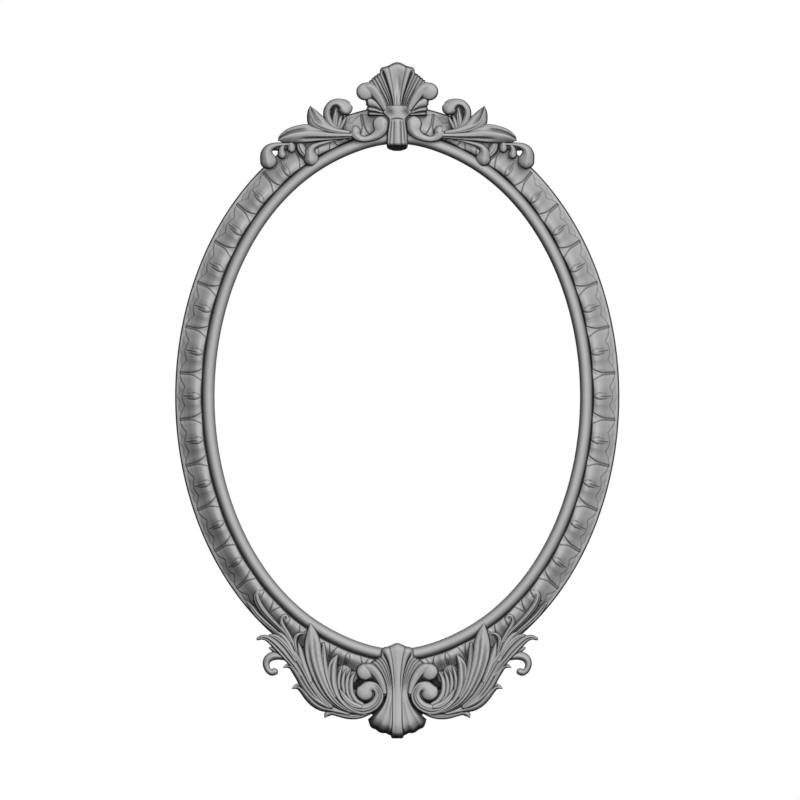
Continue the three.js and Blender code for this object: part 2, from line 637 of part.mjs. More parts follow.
function addPiece(name, solid, finish, position = [0, 0, 0], turn = 0) {
  const material = new THREE.MeshStandardMaterial(finish);
  const mesh = new THREE.Mesh(toGeometry(solid), material);
  mesh.name = name;
  mesh.position.set(...position);
  mesh.rotation.y = turn;
  frame.add(mesh);
  return mesh;
}

function addPair(name, solid, finish) {
  addPiece(name + "_left", solid, finish);
  addPiece(name + "_right", solid, finish).scale.x = -1;
}

const { top_right: topRight, top_left: topLeft, bottom_left: bottomLeft } = jointAngles;
addPiece("rail_top", carcassPiece(topRight, topLeft), paint);
addPiece("stile_left", carcassPiece(topLeft, bottomLeft), paint);
addPiece("rail_bottom", carcassPiece(bottomLeft, jointAngles.bottom_right), paint);
addPiece("stile_right", carcassPiece(jointAngles.bottom_right - 360, topRight), paint);
for (const [name, angle] of Object.entries(jointAngles)) {
  addPiece("joint_spline_" + name, splineSolid(angle, 0), beechWood);
}
["top_right", "top_left", "bottom_left", "bottom_right"].forEach((name, quarter) => {
  addPiece("sight_bead_" + name, beadPiece(90 * quarter, 90 * (quarter + 1)), paint);
});

addPiece("crest_shell", crest.shell, paint);
addPiece("crest_clasp", crest.clasp, paint);
addPair("crest_scroll", crest.scroll, paint);
addPair("crest_leaf", crest.leaf, paint);
addPair("crest_curl", crest.curl, paint);
addPair("tail_curl", crest.tail, paint);
addPair("under_curl", crest.under, paint);
addPiece("base_shell", foot.shell, paint);
addPair("base_volute", foot.volute, paint);
addPair("base_blade", foot.blade, paint);
addPair("base_acanthus", foot.acanthus, paint);
addPair("base_foliage", foot.foliage, paint);
addPair("base_hook", foot.hook, paint);
addPair("base_tendril", foot.tendril, paint);

for (const [name, angle, out] of FIXING_SCREWS) {
  const centre = place(out, angle, 0);
  const seat = FIXING_RECESS - SEAT_GAP;
  const solid = screw(FIXING_HEAD_RADIUS, FIXING_HEAD_HEIGHT, fixingEnd(out) - seat);
  addPiece(name, solid, zincSteel, [centre.x, -seat, centre.z]);
}

const BUTTON_NAMES = ["top_right", "top_left", "bottom_left", "bottom_right"];
buttonCentres.forEach((centre, i) => {
  const button = turnButton();
  const onLeft = centre.x < 0;
  const turn = runTurn(BUTTON_ANGLES[i]) + (onLeft ? Math.PI : 0);
  const rear = TURNING_GAP + BUTTON_THICKNESS;
  addPiece("turn_button_" + BUTTON_NAMES[i], button, zincSteel, [centre.x, rear, centre.z], turn);
  const pivot = screw(SCREW_HEAD_RADIUS, SCREW_HEAD_HEIGHT, SCREW_LENGTH);
  addPiece("button_screw_" + BUTTON_NAMES[i], pivot, zincSteel, [centre.x, buttonPlate, centre.z]);
});

hangerCentres.forEach((centre, i) => {
  const side = ["_left", "_right"][i];
  addPiece("hanger_strap" + side, hangerStrap(), zincSteel, [centre.x, ringAxisBack, centre.z]);
  addPiece("hanger_ring" + side, hangerRing(), zincSteel, [centre.x, ringAxisBack, centre.z]);
});
strapScrewCentres.forEach((centre, i) => {
  const name = "strap_screw_" + ["left_upper", "left_lower", "right_upper", "right_lower"][i];
  const solid = screw(SCREW_HEAD_RADIUS, SCREW_HEAD_HEIGHT, SCREW_LENGTH);
  addPiece(name, solid, zincSteel, [centre.x, strapPlate, centre.z]);
});

BUMPER_ANGLES.forEach((angle, i) => {
  const centre = place(BUMPER_OUT, angle, 0);
  addPiece("wall_bumper" + ["_left", "_right"][i], bumper(), blackFelt, [centre.x, SEAT_GAP, centre.z]);
});

export default frame;
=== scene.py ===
# %% [markdown]
# # A carved oval picture frame
#
# The real object is a painted wooden frame: an oval moulding with a half round bead at the
# opening, a band of leaf-and-dart carving that slopes away from it, a pierced crest on top and a
# larger foot below. This lesson dresses a plain CAD model of it. The CAD model says where each
# piece is and how big it may be, and the scene gives each piece its real surface.

# %% Load the CAD model
import math

import bmesh
import bpy
import numpy as np
from mathutils import Matrix, Vector


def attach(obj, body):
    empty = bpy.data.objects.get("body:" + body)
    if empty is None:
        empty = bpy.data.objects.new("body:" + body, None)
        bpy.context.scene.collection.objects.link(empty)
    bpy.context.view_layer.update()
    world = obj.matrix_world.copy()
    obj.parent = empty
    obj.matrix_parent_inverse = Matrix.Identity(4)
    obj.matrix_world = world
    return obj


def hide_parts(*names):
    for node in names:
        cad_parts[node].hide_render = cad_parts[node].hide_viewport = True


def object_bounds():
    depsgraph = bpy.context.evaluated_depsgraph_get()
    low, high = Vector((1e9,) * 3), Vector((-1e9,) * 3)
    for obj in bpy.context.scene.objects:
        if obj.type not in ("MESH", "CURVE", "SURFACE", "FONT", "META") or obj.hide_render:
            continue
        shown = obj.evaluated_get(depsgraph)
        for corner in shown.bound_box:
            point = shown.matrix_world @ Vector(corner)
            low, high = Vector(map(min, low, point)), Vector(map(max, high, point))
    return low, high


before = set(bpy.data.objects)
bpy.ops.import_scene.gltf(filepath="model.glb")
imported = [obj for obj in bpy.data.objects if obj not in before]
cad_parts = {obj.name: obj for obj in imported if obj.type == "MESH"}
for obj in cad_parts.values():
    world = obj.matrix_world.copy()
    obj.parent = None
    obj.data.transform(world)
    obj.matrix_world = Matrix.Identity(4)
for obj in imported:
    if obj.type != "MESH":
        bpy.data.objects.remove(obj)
cad_low, cad_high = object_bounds()
print("CAD box in metres:", tuple(cad_low), tuple(cad_high))

# %% [markdown]
# ## Measures
#
# A frame like this is laid out from its opening. Every place on it can be given by three numbers:
# how far outwards from the opening's edge, at which angle round the oval, and how far in front of
# the flat back. The lesson works in millimetres and turns them into Blender's metres at the end.

# %% Measures of the oval
MM = 0.001
OPENING_HALF_WIDTH = 246.2
OPENING_HALF_HEIGHT = 336.1
RAIL_AT_SIDE = 53.3
RAIL_AT_TOP = 51.5
PEAK_RISE = 4.4  # the moulding is drawn out a little at its top and foot
PEAK_SPREAD = 13  # degrees either side over which that fades
BEAD_WIDTH = 17
BEAD_HEIGHT = 11.7
LIP_FRONT = 19  # front of the lip that the bead is glued to
REBATE_WIDTH = 8
REBATE_DEPTH = 14
SEAT_GAP = 0.3


def place(out, angle, front):
    """Places on the frame, in metres: x to the right, y backwards, z up."""
    turn = np.radians(angle)
    x = (OPENING_HALF_WIDTH + out) * np.cos(turn)
    z = (OPENING_HALF_HEIGHT + out * RAIL_AT_TOP / RAIL_AT_SIDE) * np.sin(turn)
    return np.stack([x, -front + 0 * x, z], axis=-1) * MM


def moulding_place(out, angle, front):
    from_peak = np.abs(np.mod(angle, 180) - 90)
    return place(out + PEAK_RISE * np.exp(-((from_peak / PEAK_SPREAD) ** 2)), angle, front)


print("bare oval, half width and half height in mm:",
      OPENING_HALF_WIDTH + RAIL_AT_SIDE, OPENING_HALF_HEIGHT + RAIL_AT_TOP)

# %% [markdown]
# ## Mesh helpers
#
# A carved shape is easiest to model straight, from an extruded outline or a sphere, and then to
# bend into place by moving its vertices. The helpers here read and write all the vertices of a
# mesh at once, and turn a finished mesh into a piece that rides on a body of the CAD model.


# %% Helpers that every piece uses
def read_rows(items, what):
    """One property of all vertices or faces (co, normal or center), three numbers to a row."""
    values = np.empty(len(items) * 3)
    items.foreach_get(what, values)
    return values.reshape(-1, 3)


def mesh_from(bm, name, mover=None):
    """Turns a bmesh into a mesh. mover gets all the vertex places, and returns new ones and how
    much shade is painted at each."""
    mesh = bpy.data.meshes.new(name)
    bm.to_mesh(mesh)
    bm.free()
    if mover:
        moved, painted_shade = mover(read_rows(mesh.vertices, "co"))
        mesh.vertices.foreach_set("co", moved.ravel())
        attribute = mesh.attributes.new("painted_shade", "FLOAT", "POINT")
        attribute.data.foreach_set("value", np.clip(painted_shade, 0, 1).astype(np.float32))
    return mesh


def face_outwards(mesh):
    bm = bmesh.new()
    bm.from_mesh(mesh)
    bmesh.ops.recalc_face_normals(bm, faces=bm.faces)
    bm.to_mesh(mesh)
    bm.free()
    return mesh


def mirrored(mesh, name):
    """A copy of a mesh on the other side of the middle, with its faces turned to match."""
    bm = bmesh.new()
    bm.from_mesh(mesh)
    bmesh.ops.scale(bm, vec=(-1, 1, 1), verts=bm.verts)
    bmesh.ops.reverse_faces(bm, faces=bm.faces)
    copy = mesh_from(bm, name)
    for material in mesh.materials:
        copy.materials.append(material)
    return copy


# %% Helpers that join meshes and turn them into pieces
SHARP_FROM = 38  # degrees: edges sharper than this stay sharp


def combine(meshes, name, operation="UNION"):
    """Joins closed meshes into one body, or cuts the later ones out of the first."""
    first, *others = [bpy.data.objects.new("part", mesh) for mesh in meshes]
    for obj in (first, *others):
        bpy.context.scene.collection.objects.link(obj)
    for other in others:
        step = first.modifiers.new("step", "BOOLEAN")
        step.operation = operation
        step.solver = "MANIFOLD"
        step.object = other
    view = bpy.context.evaluated_depsgraph_get()
    result = bpy.data.meshes.new_from_object(first.evaluated_get(view))
    for used in (first, *others):
        bpy.data.objects.remove(used)
    result.name = name
    result.materials.clear()
    return result


def piece(mesh, name, replaced):
    """Makes an object of a finished mesh, which rides on the frame in place of a CAD node."""
    mesh.shade_smooth()
    mesh.set_sharp_from_angle(angle=math.radians(SHARP_FROM))
    obj = bpy.data.objects.new(name, mesh)
    bpy.context.scene.collection.objects.link(obj)
    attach(obj, "frame")
    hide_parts(replaced)
    triangles = sum(len(face.vertices) - 2 for face in mesh.polygons)
    print(name, triangles, "triangles")


# %% [markdown]
# ## Paint and painted shade
#
# The frame is painted a flat mid grey, and shade is painted into that colour: dark in every groove,
# under every edge and on steep walls, while the high ridges are rubbed a little lighter. The painted
# shade follows the shape, so the shader needs a mask of how hidden a place is. Ambient Occlusion
# gives that for any mesh, and Pointiness finds the ridges. Both go into node groups, because the
# wood and the metal use the same painted shade in their hollows.


# %% Node helpers
class Graph:
    """A small way to write a node tree: add a node, set its values and links in one line."""

    def __init__(self, tree):
        self.tree = tree

    def add(self, kind, inputs=None, **settings):
        node = self.tree.nodes.new(kind)
        for key, value in settings.items():
            setattr(node, key, value)
        for socket, value in (inputs or {}).items():
            self.feed(node.inputs[socket], value)
        return node

    def feed(self, socket, value):
        if isinstance(value, bpy.types.NodeSocket):
            self.tree.links.new(value, socket)
        else:
            socket.default_value = value

    def math(self, operation, a, b=0.0, clamp=False):
        return self.add("ShaderNodeMath", {0: a, 1: b}, operation=operation, use_clamp=clamp).outputs[0]

    def mix(self, factor, a, b):
        node = self.add("ShaderNodeMix", data_type="RGBA")
        for socket, value in (("Factor_Float", factor), ("A_Color", a), ("B_Color", b)):
            self.feed(next(s for s in node.inputs if s.identifier == socket), value)
        return next(s for s in node.outputs if s.identifier == "Result_Color")

    def ramp(self, value, low, high, to_low=0.0, to_high=1.0):
        inputs = {"Value": value, "From Min": low, "From Max": high, "To Min": to_low, "To Max": to_high}
        return self.add("ShaderNodeMapRange", inputs, interpolation_type="SMOOTHSTEP", clamp=True).outputs[0]

    def noise(self, coordinates, scale, detail, roughness):
        inputs = {"Vector": coordinates, "Scale": scale, "Detail": detail, "Roughness": roughness}
        return self.add("ShaderNodeTexNoise", inputs).outputs[0]

    def on_object(self, scale=(1, 1, 1), rotation=(0, 0, 0)):
        """Places on the object. A scale below 1 draws a pattern out along that axis."""
        inputs = {
            "Vector": self.add("ShaderNodeTexCoord").outputs["Object"],
            "Rotation": rotation, "Scale": scale,
        }
        return self.add("ShaderNodeMapping", inputs).outputs[0]


def node_group(name, inputs, outputs):
    """Starts a node group with named number sockets; inputs gives each one its default."""
    tree = bpy.data.node_groups.new(name, "ShaderNodeTree")
    for socket, value in inputs.items():
        made = tree.interface.new_socket(socket, in_out="INPUT", socket_type="NodeSocketFloat")
        made.default_value = value
    for socket in outputs:
        tree.interface.new_socket(socket, in_out="OUTPUT", socket_type="NodeSocketFloat")
    graph = Graph(tree)
    return graph, graph.add("NodeGroupInput").outputs, graph.add("NodeGroupOutput").inputs


# %% Masks of where shade is painted into the colour, and of the ridges that are rubbed lighter
graph, given, result = node_group(
    "hollows_and_ridges", {"Hollow Size": 0.0035, "Wall Power": 1.1}, ("Hollow", "Wall", "Ridge"),
)
# Hollow and Wall say where shade is painted into the colour: in hollows, and on faces that turn away from
# the front
hidden = graph.add("ShaderNodeAmbientOcclusion", {"Distance": given["Hollow Size"]}, samples=6)
graph.feed(result["Hollow"], graph.math("SUBTRACT", 1.0, hidden.outputs["AO"], clamp=True))
geometry = graph.add("ShaderNodeNewGeometry")
object_normal = graph.add(
    "ShaderNodeVectorTransform", {"Vector": geometry.outputs["Normal"]},
    vector_type="NORMAL", convert_from="WORLD", convert_to="OBJECT",
)
facing = graph.add("ShaderNodeSeparateXYZ", {0: object_normal.outputs[0]})
front_share = graph.math("MAXIMUM", graph.math("ABSOLUTE", facing.outputs["Y"]), 0.02)
unshaded_share = graph.math("POWER", front_share, given["Wall Power"])
steep = graph.math("SUBTRACT", 1.0, unshaded_share, clamp=True)
# the painted shade is eased on the true side walls
side_wall_easing = graph.ramp(front_share, 0.05, 0.3, 0.72, 1.0)
graph.feed(result["Wall"], graph.math("MULTIPLY", steep, side_wall_easing))
graph.feed(result["Ridge"], graph.ramp(geometry.outputs["Pointiness"], 0.52, 0.6))
hollows_and_ridges = graph.tree

# %% Brushed grain: fine streaks and blotches of a hand painted surface
graph, given, result = node_group(
    "brushed_surface", {"Streak Scale": 260.0, "Blotch Scale": 22.0}, ("Streak", "Blotch", "Speckle"),
)
drawn_out = graph.on_object(scale=(1, 1, 0.35))
graph.feed(result["Streak"], graph.noise(drawn_out, given["Streak Scale"], 4.0, 0.6))
graph.feed(result["Blotch"], graph.noise(graph.on_object(), given["Blotch Scale"], 3.0, 0.55))
graph.feed(result["Speckle"], graph.noise(graph.on_object(), 1400.0, 2.0, 0.7))
brushed_surface = graph.tree
print("node groups:", [tree.name for tree in bpy.data.node_groups])

# %% [markdown]
# The paint itself is a plain Principled shader with low gloss. Its colour starts from the grey,
# painted shade darkens it by the masks, and the ridges are rubbed lighter. The painted shade in the
# carved lines comes from an attribute, because the mesh code knows where it cuts a groove. Brush
# streaks and a little grain of the wood below go into the roughness and a very low bump.

# %% Painted wood, with shade painted into its colour
PAINT_GREY = (0.465, 0.465, 0.47, 1)
BLOTCH_GREY = (0.36, 0.36, 0.36, 1)
STREAK_GREY = (0.52, 0.52, 0.52, 1)
RUBBED_GREY = (0.62, 0.62, 0.62, 1)
# the dark colour of the painted shade
PAINTED_SHADE_DARK = (0.012, 0.012, 0.013, 1)


def new_material(name, look):
    """A material with a Principled shader; look is its colour in the solid view."""
    material = bpy.data.materials.new(name)
    material.use_nodes = True
    material.diffuse_color = look
    material.node_tree.nodes.clear()
    graph = Graph(material.node_tree)
    shader = graph.add("ShaderNodeBsdfPrincipled")
    graph.add("ShaderNodeOutputMaterial", {"Surface": shader.outputs[0]})
    return material, graph, shader


def set_surface(graph, shader, colour, roughness, relief, strength, depth):
    """Gives a shader its colour and roughness, and a bump from relief that is depth metres high."""
    bump = graph.add("ShaderNodeBump", {"Strength": strength, "Distance": depth, "Height": relief})
    for socket, value in (("Base Color", colour), ("Roughness", roughness), ("Normal", bump.outputs[0])):
        graph.feed(shader.inputs[socket], value)


painted_wood, graph, shader = new_material("painted_wood", PAINT_GREY)
masks = graph.add("ShaderNodeGroup", node_tree=hollows_and_ridges).outputs
brush = graph.add("ShaderNodeGroup", node_tree=brushed_surface).outputs
line_shade = graph.add("ShaderNodeAttribute", attribute_name="painted_shade").outputs["Fac"]
blotched = graph.mix(graph.ramp(brush["Blotch"], 0.35, 0.65, 0.0, 0.12), PAINT_GREY, BLOTCH_GREY)
streaked = graph.mix(graph.ramp(brush["Streak"], 0.4, 0.65, 0.0, 0.12), blotched, STREAK_GREY)
rubbed = graph.mix(graph.math("MULTIPLY", masks["Ridge"], 0.3), streaked, RUBBED_GREY)
# painted shade: dark in hollows, in the carved lines and on steep walls
shade_in_hollows = graph.ramp(masks["Hollow"], 0.15, 0.75, 0.0, 0.55)
shade_in_lines = graph.math("MULTIPLY", line_shade, 0.97)
with_hollow_shade = graph.mix(graph.math("MAXIMUM", shade_in_hollows, shade_in_lines), rubbed, PAINTED_SHADE_DARK)
with_wall_shade = graph.mix(masks["Wall"], with_hollow_shade, PAINTED_SHADE_DARK)
streaks = graph.math("MULTIPLY", brush["Streak"], 0.7)
speckles = graph.math("MULTIPLY", brush["Speckle"], 0.3)
roughness = graph.ramp(brush["Streak"], 0.3, 0.7, 0.56, 0.68)
set_surface(graph, shader, with_wall_shade, roughness, graph.math("ADD", streaks, speckles), 0.1, 0.0004)
shader.inputs["Specular IOR Level"].default_value = 0.04  # dead flat, or white shows at its edges
print("paint nodes:", len(painted_wood.node_tree.nodes))

# %% [markdown]
# The back of such a frame is left as bare wood, like the loose tongues inside its joints. Beech
# has short dark flecks and faint long grain, so the material stretches one noise a lot and keeps
# another one short.

# %% Bare beech
BEECH_LIGHT = (0.47, 0.31, 0.17, 1)
BEECH_DARK = (0.30, 0.18, 0.09, 1)
FLECK_BROWN = (0.20, 0.10, 0.05, 1)
HOLLOW_SHADE_BROWN = (0.05, 0.035, 0.025, 1)
bare_beech, graph, shader = new_material("bare_beech", BEECH_LIGHT)
grain = graph.noise(graph.on_object(scale=(1, 1, 0.06)), 420.0, 5.0, 0.6)
fleck_noise = graph.noise(graph.on_object(scale=(1, 1, 0.22)), 900.0, 1.0, 0.4)
wood = graph.mix(graph.ramp(grain, 0.3, 0.7), BEECH_LIGHT, BEECH_DARK)
wood = graph.mix(graph.ramp(fleck_noise, 0.62, 0.70, 0.0, 0.5), wood, FLECK_BROWN)
masks = graph.add("ShaderNodeGroup", node_tree=hollows_and_ridges).outputs
# painted shade: the wood is darker brown in its hollows
wood = graph.mix(graph.math("MULTIPLY", masks["Hollow"], 0.6), wood, HOLLOW_SHADE_BROWN)
set_surface(graph, shader, wood, graph.ramp(grain, 0.3, 0.7, 0.6, 0.75), grain, 0.25, 0.0003)
print("wood nodes:", len(bare_beech.node_tree.nodes))

# %% [markdown]
# The screws, turn buttons and hangers are zinc plated steel: a grey metal with a cloudy roughness
# and tiny scratches, with shade painted darker into its corners. The two pads at the foot are black
# felt, which is only fibres, so its bump is strong and fine and it has some sheen.

# %% Zinc plated steel
ZINC_LIGHT = (0.62, 0.63, 0.64, 1)
ZINC_DARK = (0.50, 0.51, 0.53, 1)
HOLLOW_SHADE_GREY = (0.10, 0.095, 0.09, 1)
zinc_steel, graph, shader = new_material("zinc_steel", ZINC_DARK)
cloud = graph.noise(graph.on_object(), 260.0, 3.0, 0.6)
scratches = graph.noise(graph.on_object(scale=(1, 1, 0.05), rotation=(0.2, 0.5, 0.3)), 2600.0, 2.0, 0.5)
masks = graph.add("ShaderNodeGroup", node_tree=hollows_and_ridges).outputs
metal = graph.mix(graph.ramp(cloud, 0.35, 0.65), ZINC_DARK, ZINC_LIGHT)
# painted shade: the metal is darker in its hollows
metal = graph.mix(graph.math("MULTIPLY", masks["Hollow"], 0.7), metal, HOLLOW_SHADE_GREY)
roughness = graph.ramp(graph.math("ADD", cloud, scratches), 0.7, 1.3, 0.28, 0.5)
set_surface(graph, shader, metal, roughness, scratches, 0.08, 0.0002)
shader.inputs["Metallic"].default_value = 1.0

# %% Black felt
FELT_DARK = (0.012, 0.012, 0.013, 1)
FELT_LIGHT = (0.045, 0.045, 0.048, 1)
black_felt, graph, shader = new_material("black_felt", FELT_DARK)
fibres = graph.noise(graph.on_object(), 2600.0, 5.0, 0.75)
felt = graph.mix(fibres, FELT_DARK, FELT_LIGHT)
set_surface(graph, shader, felt, graph.ramp(fibres, 0.3, 0.7, 0.85, 1.0), fibres, 0.9, 0.0006)
shader.inputs["Sheen Weight"].default_value = 0.4
print("materials:", [m.name for m in bpy.data.materials if m.use_nodes])

# %% [markdown]
# ## The moulding
#
# On the real frame the moulding is milled to one section and then carved by hand. Here it is made
# in the same order: a straight blank with the moulding's section for each of the four lengths,
# whose vertices are then moved twice, forwards or backwards by the carving, and round the oval.

# %% The moulding's section
# Height of the front in front of the back, by how far out from the opening's edge
SECTION_OUT = [17.05, 17.6, 18.2, 18.8, 20, 22, 24, 26, 28, 30, 32, 34,
               36, 38, 40, 42, 44, 46, 48, 50, 51, 52, 52.8, 53.3]
SECTION_FRONT = [20, 20.8, 22.6, 24.0, 24.75, 25.5, 25.9, 25.7, 24.9, 23.6, 22.1, 20.35,
                 18.5, 16.7, 15.1, 13.4, 11.9, 10.5, 9.3, 8.3, 7.8, 7.0, 5.9, 4.6]
FRONT_STEP = 0.68  # mm between two lines of vertices across the front
RUN_STEP = 0.75  # mm between two sections along the run
OUTER_EDGE = 4.4  # mm thick, at the outside
ARRIS = {"back": 0.8, "rebate": 0.5, "lip": 0.4}  # mm taken off the sharp edges


def section_front(out):
    return np.interp(out, SECTION_OUT, SECTION_FRONT)


def moulding_outline():
    """The section as a closed loop of [out, front] points, carved front first."""
    front = [(out, section_front(out)) for out in np.arange(SECTION_OUT[0], RAIL_AT_SIDE, FRONT_STEP)]
    outer = [(RAIL_AT_SIDE, OUTER_EDGE), (RAIL_AT_SIDE, ARRIS["back"]), (RAIL_AT_SIDE - ARRIS["back"], 0)]
    back = [(out, 0) for out in (44, 35, 26, 17)]
    rebate = [
        (REBATE_WIDTH + ARRIS["rebate"], 0), (REBATE_WIDTH, ARRIS["rebate"]),
        (REBATE_WIDTH, REBATE_DEPTH / 2), (REBATE_WIDTH, REBATE_DEPTH),
    ]
    lip = [
        (ARRIS["lip"], REBATE_DEPTH), (0, REBATE_DEPTH + ARRIS["lip"]),
        (0, LIP_FRONT - ARRIS["lip"]), (ARRIS["lip"], LIP_FRONT), (9, LIP_FRONT), (BEAD_WIDTH, LIP_FRONT),
    ]
    return front + outer + back + rebate + lip


print("points round the section:", len(moulding_outline()))

# %% [markdown]
# ## Leaf-and-dart carving
#
# Thirty-eight leaves go round the oval. Between two leaves stands a narrow dart, and in the middle
# of each leaf sits an eye, an almond with a sunk vein. All of it is low: the leaf rises a few
# millimetres from the dart to the eye, its frilled outer edge steps down to the ground, and a
# V cut runs along each border. Such a pattern is a sum of a few simple curves, so the lesson
# writes it as a height over two numbers: m, the share of a leaf from the dart (0) to the eye
# (0.5), and out, the distance from the opening in mm. Two curves do nearly all of the work: a
# bell for a groove or a ridge, and a soft step for an edge.


# %% Height of the leaf-and-dart carving
LEAVES = 38
DEGREES_PER_LEAF = 360 / LEAVES
MIDDLE_OF_BAND = 33  # mm out from the opening, where the leaves' length is measured


def bell(distance, width):
    """1 in the middle of a groove or ridge, falling to 0 on both sides."""
    return np.exp(-((distance / width) ** 2))


def step_up(distance, width):
    """0 before an edge and 1 behind it, over about the given width."""
    return 0.5 * (1 + np.tanh(distance / width))


def leaf_swell(m, out):
    """The leaf's broad swell from the dart to the eye, in mm."""
    amount = np.interp(out, [17.6, 19, 22, 26, 30, 34, 38, 42, 46, 49],
                       [0, 1.9, 3.0, 3.4, 3.1, 2.5, 2.0, 1.5, 0.8, 0])
    shape = np.interp(m, [0, 0.04, 0.1, 0.19, 0.25, 0.32, 0.42, 0.5],
                      [-1.1, -1.0, -0.55, -0.32, 0, 0.48, 0.62, 0.87])
    return amount * shape


def dart(m, out, leaf_length):
    """A flat tongue between V cuts; it widens towards the opening. Gives height and painted shade."""
    half = 0.021 + 0.12 * (np.clip(34 - out, 0, None) / 16.6) ** 1.6
    beside = (m - half) * leaf_length
    ends = step_up(47.5 - out, 0.6)
    lip = 0.6 * step_up(beside - 0.8, 0.5) * np.exp(-np.clip(beside, 0, None) / 3.5)
    blunt_end = bell(out - 47.9, 0.6) * step_up(0.03 - m, 0.01)
    painted_shade = 0.8 * ends * bell(beside, 0.7) + 0.7 * blunt_end
    return ends * (lip - 1.2 * bell(beside, 0.75)) - 0.8 * blunt_end, painted_shade


def eye(m, out, leaf_length):
    """An almond with a sunk vein in its outer half. Gives height and painted shade."""
    across = (0.5 - m) * leaf_length
    half = np.interp(out, [18.1, 20, 23.5, 27.7, 31.9, 38, 43.7],
                     [0, 0.036, 0.067, 0.079, 0.067, 0.05, 0.079]) * leaf_length
    inside = step_up(out - 19, 0.5) * step_up(42.5 - out, 0.8)
    dome = 1.1 * np.clip(1 - (across / np.maximum(half, 0.3)) ** 2, 0, None) * step_up(35 - out, 2.5)
    border = bell(across - half, 0.65) * step_up(39 - out, 2)
    vein = bell(across, 0.75) * step_up(out - 29, 1.0)
    return inside * (dome - 0.9 * border - 1.3 * vein), inside * (0.35 * border + 0.7 * vein)


def frill(m, out):
    """The leaf's wavy outer edge, which steps down twice to the ground. Gives height and painted shade."""
    edge = np.interp(m, [0, 0.02, 0.083, 0.17, 0.241, 0.285, 0.328, 0.385, 0.428, 0.5],
                     [47.5, 47.5, 47.1, 45, 42.4, 40.2, 41.1, 43.2, 43.7, 44])
    second = np.interp(m, [0, 0.15, 0.2, 0.227, 0.30, 0.37, 0.44, 0.5],
                       [47, 45.5, 46.6, 47.5, 47.9, 45.8, 48.5, 51])
    first_step = 0.75 * step_up(out - edge, 0.45) + 0.35 * bell(out - edge - 0.4, 0.6)
    beyond_dart = step_up(m - 0.12, 0.02)
    second_step = 0.4 * step_up(out - second, 0.4) * beyond_dart
    lines = 0.35 * bell(out - edge - 0.3, 0.6) + 0.2 * bell(out - second - 0.3, 0.6) * beyond_dart
    return 0.5 - first_step - second_step, lines


def leaf_relief(angle, out):
    """Height of the carving over the bare section in mm, and how much shade is painted in it."""
    from_eye = np.abs(np.mod(angle / DEGREES_PER_LEAF + 0.5, 1) - 0.5)
    m = 0.5 - from_eye
    turn = np.radians(angle)
    radius = np.hypot(OPENING_HALF_WIDTH * np.sin(turn), OPENING_HALF_HEIGHT * np.cos(turn)) + MIDDLE_OF_BAND
    leaf_length = radius * math.radians(DEGREES_PER_LEAF)
    fade = step_up(out - 18.6, 0.3) * step_up(51.3 - out, 0.7)
    parts = [dart(m, out, leaf_length), eye(m, out, leaf_length), frill(m, out)]
    height = fade * (leaf_swell(m, out) + sum(part[0] for part in parts))
    return height, fade * sum(part[1] for part in parts)


sample = leaf_relief(np.linspace(0, 20, 400)[:, None], np.linspace(19, 52, 200)[None, :])[0]
print("carving from %.1f to %.1f mm" % (sample.min(), sample.max()))

# %% [markdown]
# A moulding is planed straight before it is bent, and the mesh can be made in that order too. The
# section's outline is drawn as a closed loop, extruded once along X, and its long edges are cut
# into many short ones with subdivide_edges. X then holds the angle round the oval in degrees, and
# one move of all the vertices bends the straight blank round. Each end is closed with one face,
# which is the glued joint.

# %% A straight blank, and the bend that puts it on the oval
BENT_RADIUS = 290  # mm, the oval's middle radius, to turn degrees into a length
CARVED_FROM_OUT, CARVED_FROM_FRONT = 17.1, 4.5  # mm: the carving leaves the rest of the section flat
INNER_SHADE_LINE, OUTER_SHADE_LINE = 17.4, 51.4  # mm out: lines of painted shade beside the bead and at the outer edge


def extruded(bm, edges, shift):
    """Extrudes a closed loop of edges and moves the new loop. Gives its vertices and edges."""
    new = bmesh.ops.extrude_edge_only(bm, edges=edges)["geom"]
    verts = [item for item in new if isinstance(item, bmesh.types.BMVert)]
    bmesh.ops.translate(bm, verts=verts, vec=shift)
    loop = [edge for edge in bm.edges if all(vert in verts for vert in edge.verts)]
    return verts, loop


def bent_length(outline, start, end, step, name, mover):
    """A length of the oval from start to end degrees, closed at both ends."""
    steps = max(8, round(BENT_RADIUS * math.radians(end - start) / step))
    bm = bmesh.new()
    verts = [bm.verts.new((start, -front, out)) for out, front in outline]
    rim = [bm.edges.new((a, b)) for a, b in zip(verts, verts[1:] + verts[:1])]
    far_rim = extruded(bm, rim, (end - start, 0, 0))[1]
    long_edges = [edge for edge in bm.edges if edge not in rim and edge not in far_rim]
    for loop in (rim, far_rim):
        bmesh.ops.contextual_create(bm, geom=loop)
    bmesh.ops.subdivide_edges(bm, edges=long_edges, cuts=steps - 1)
    return face_outwards(mesh_from(bm, name, mover))


def on_oval(co, relief=None):
    """Bends a blank round the oval, and carves its front first where there is a relief."""
    angle, front, out = co[:, 0], -co[:, 1], co[:, 2]
    painted_shade = 0 * out
    if relief:
        carved = (out > CARVED_FROM_OUT) & (front > CARVED_FROM_FRONT)
        height, lines = relief(angle, out)
        # Painted shade: dark in the carved grooves, and dark lines beside the bead and along the outer edge
        edge_shade_line = step_up(out - OUTER_SHADE_LINE, 0.4) + bell(out - INNER_SHADE_LINE, 0.8)
        front = np.where(carved, front + height, front)
        painted_shade = np.where(carved, lines + edge_shade_line, 0)
    return moulding_place(out, angle, front), painted_shade


# %% Recesses for the heads of the fixing screws, cut into the back
FIXING_SCREWS = {  # name: angle, out
    "crest_fixing_screw": (90, 40),
    "base_fixing_screw": (270, 31),
    "leaf_fixing_screw_left": (246, 29),
    "leaf_fixing_screw_right": (294, 29),
}
RECESS_RADIUS = 4.8
RECESS_DEPTH = 3.5
CHAMFER = 0.5


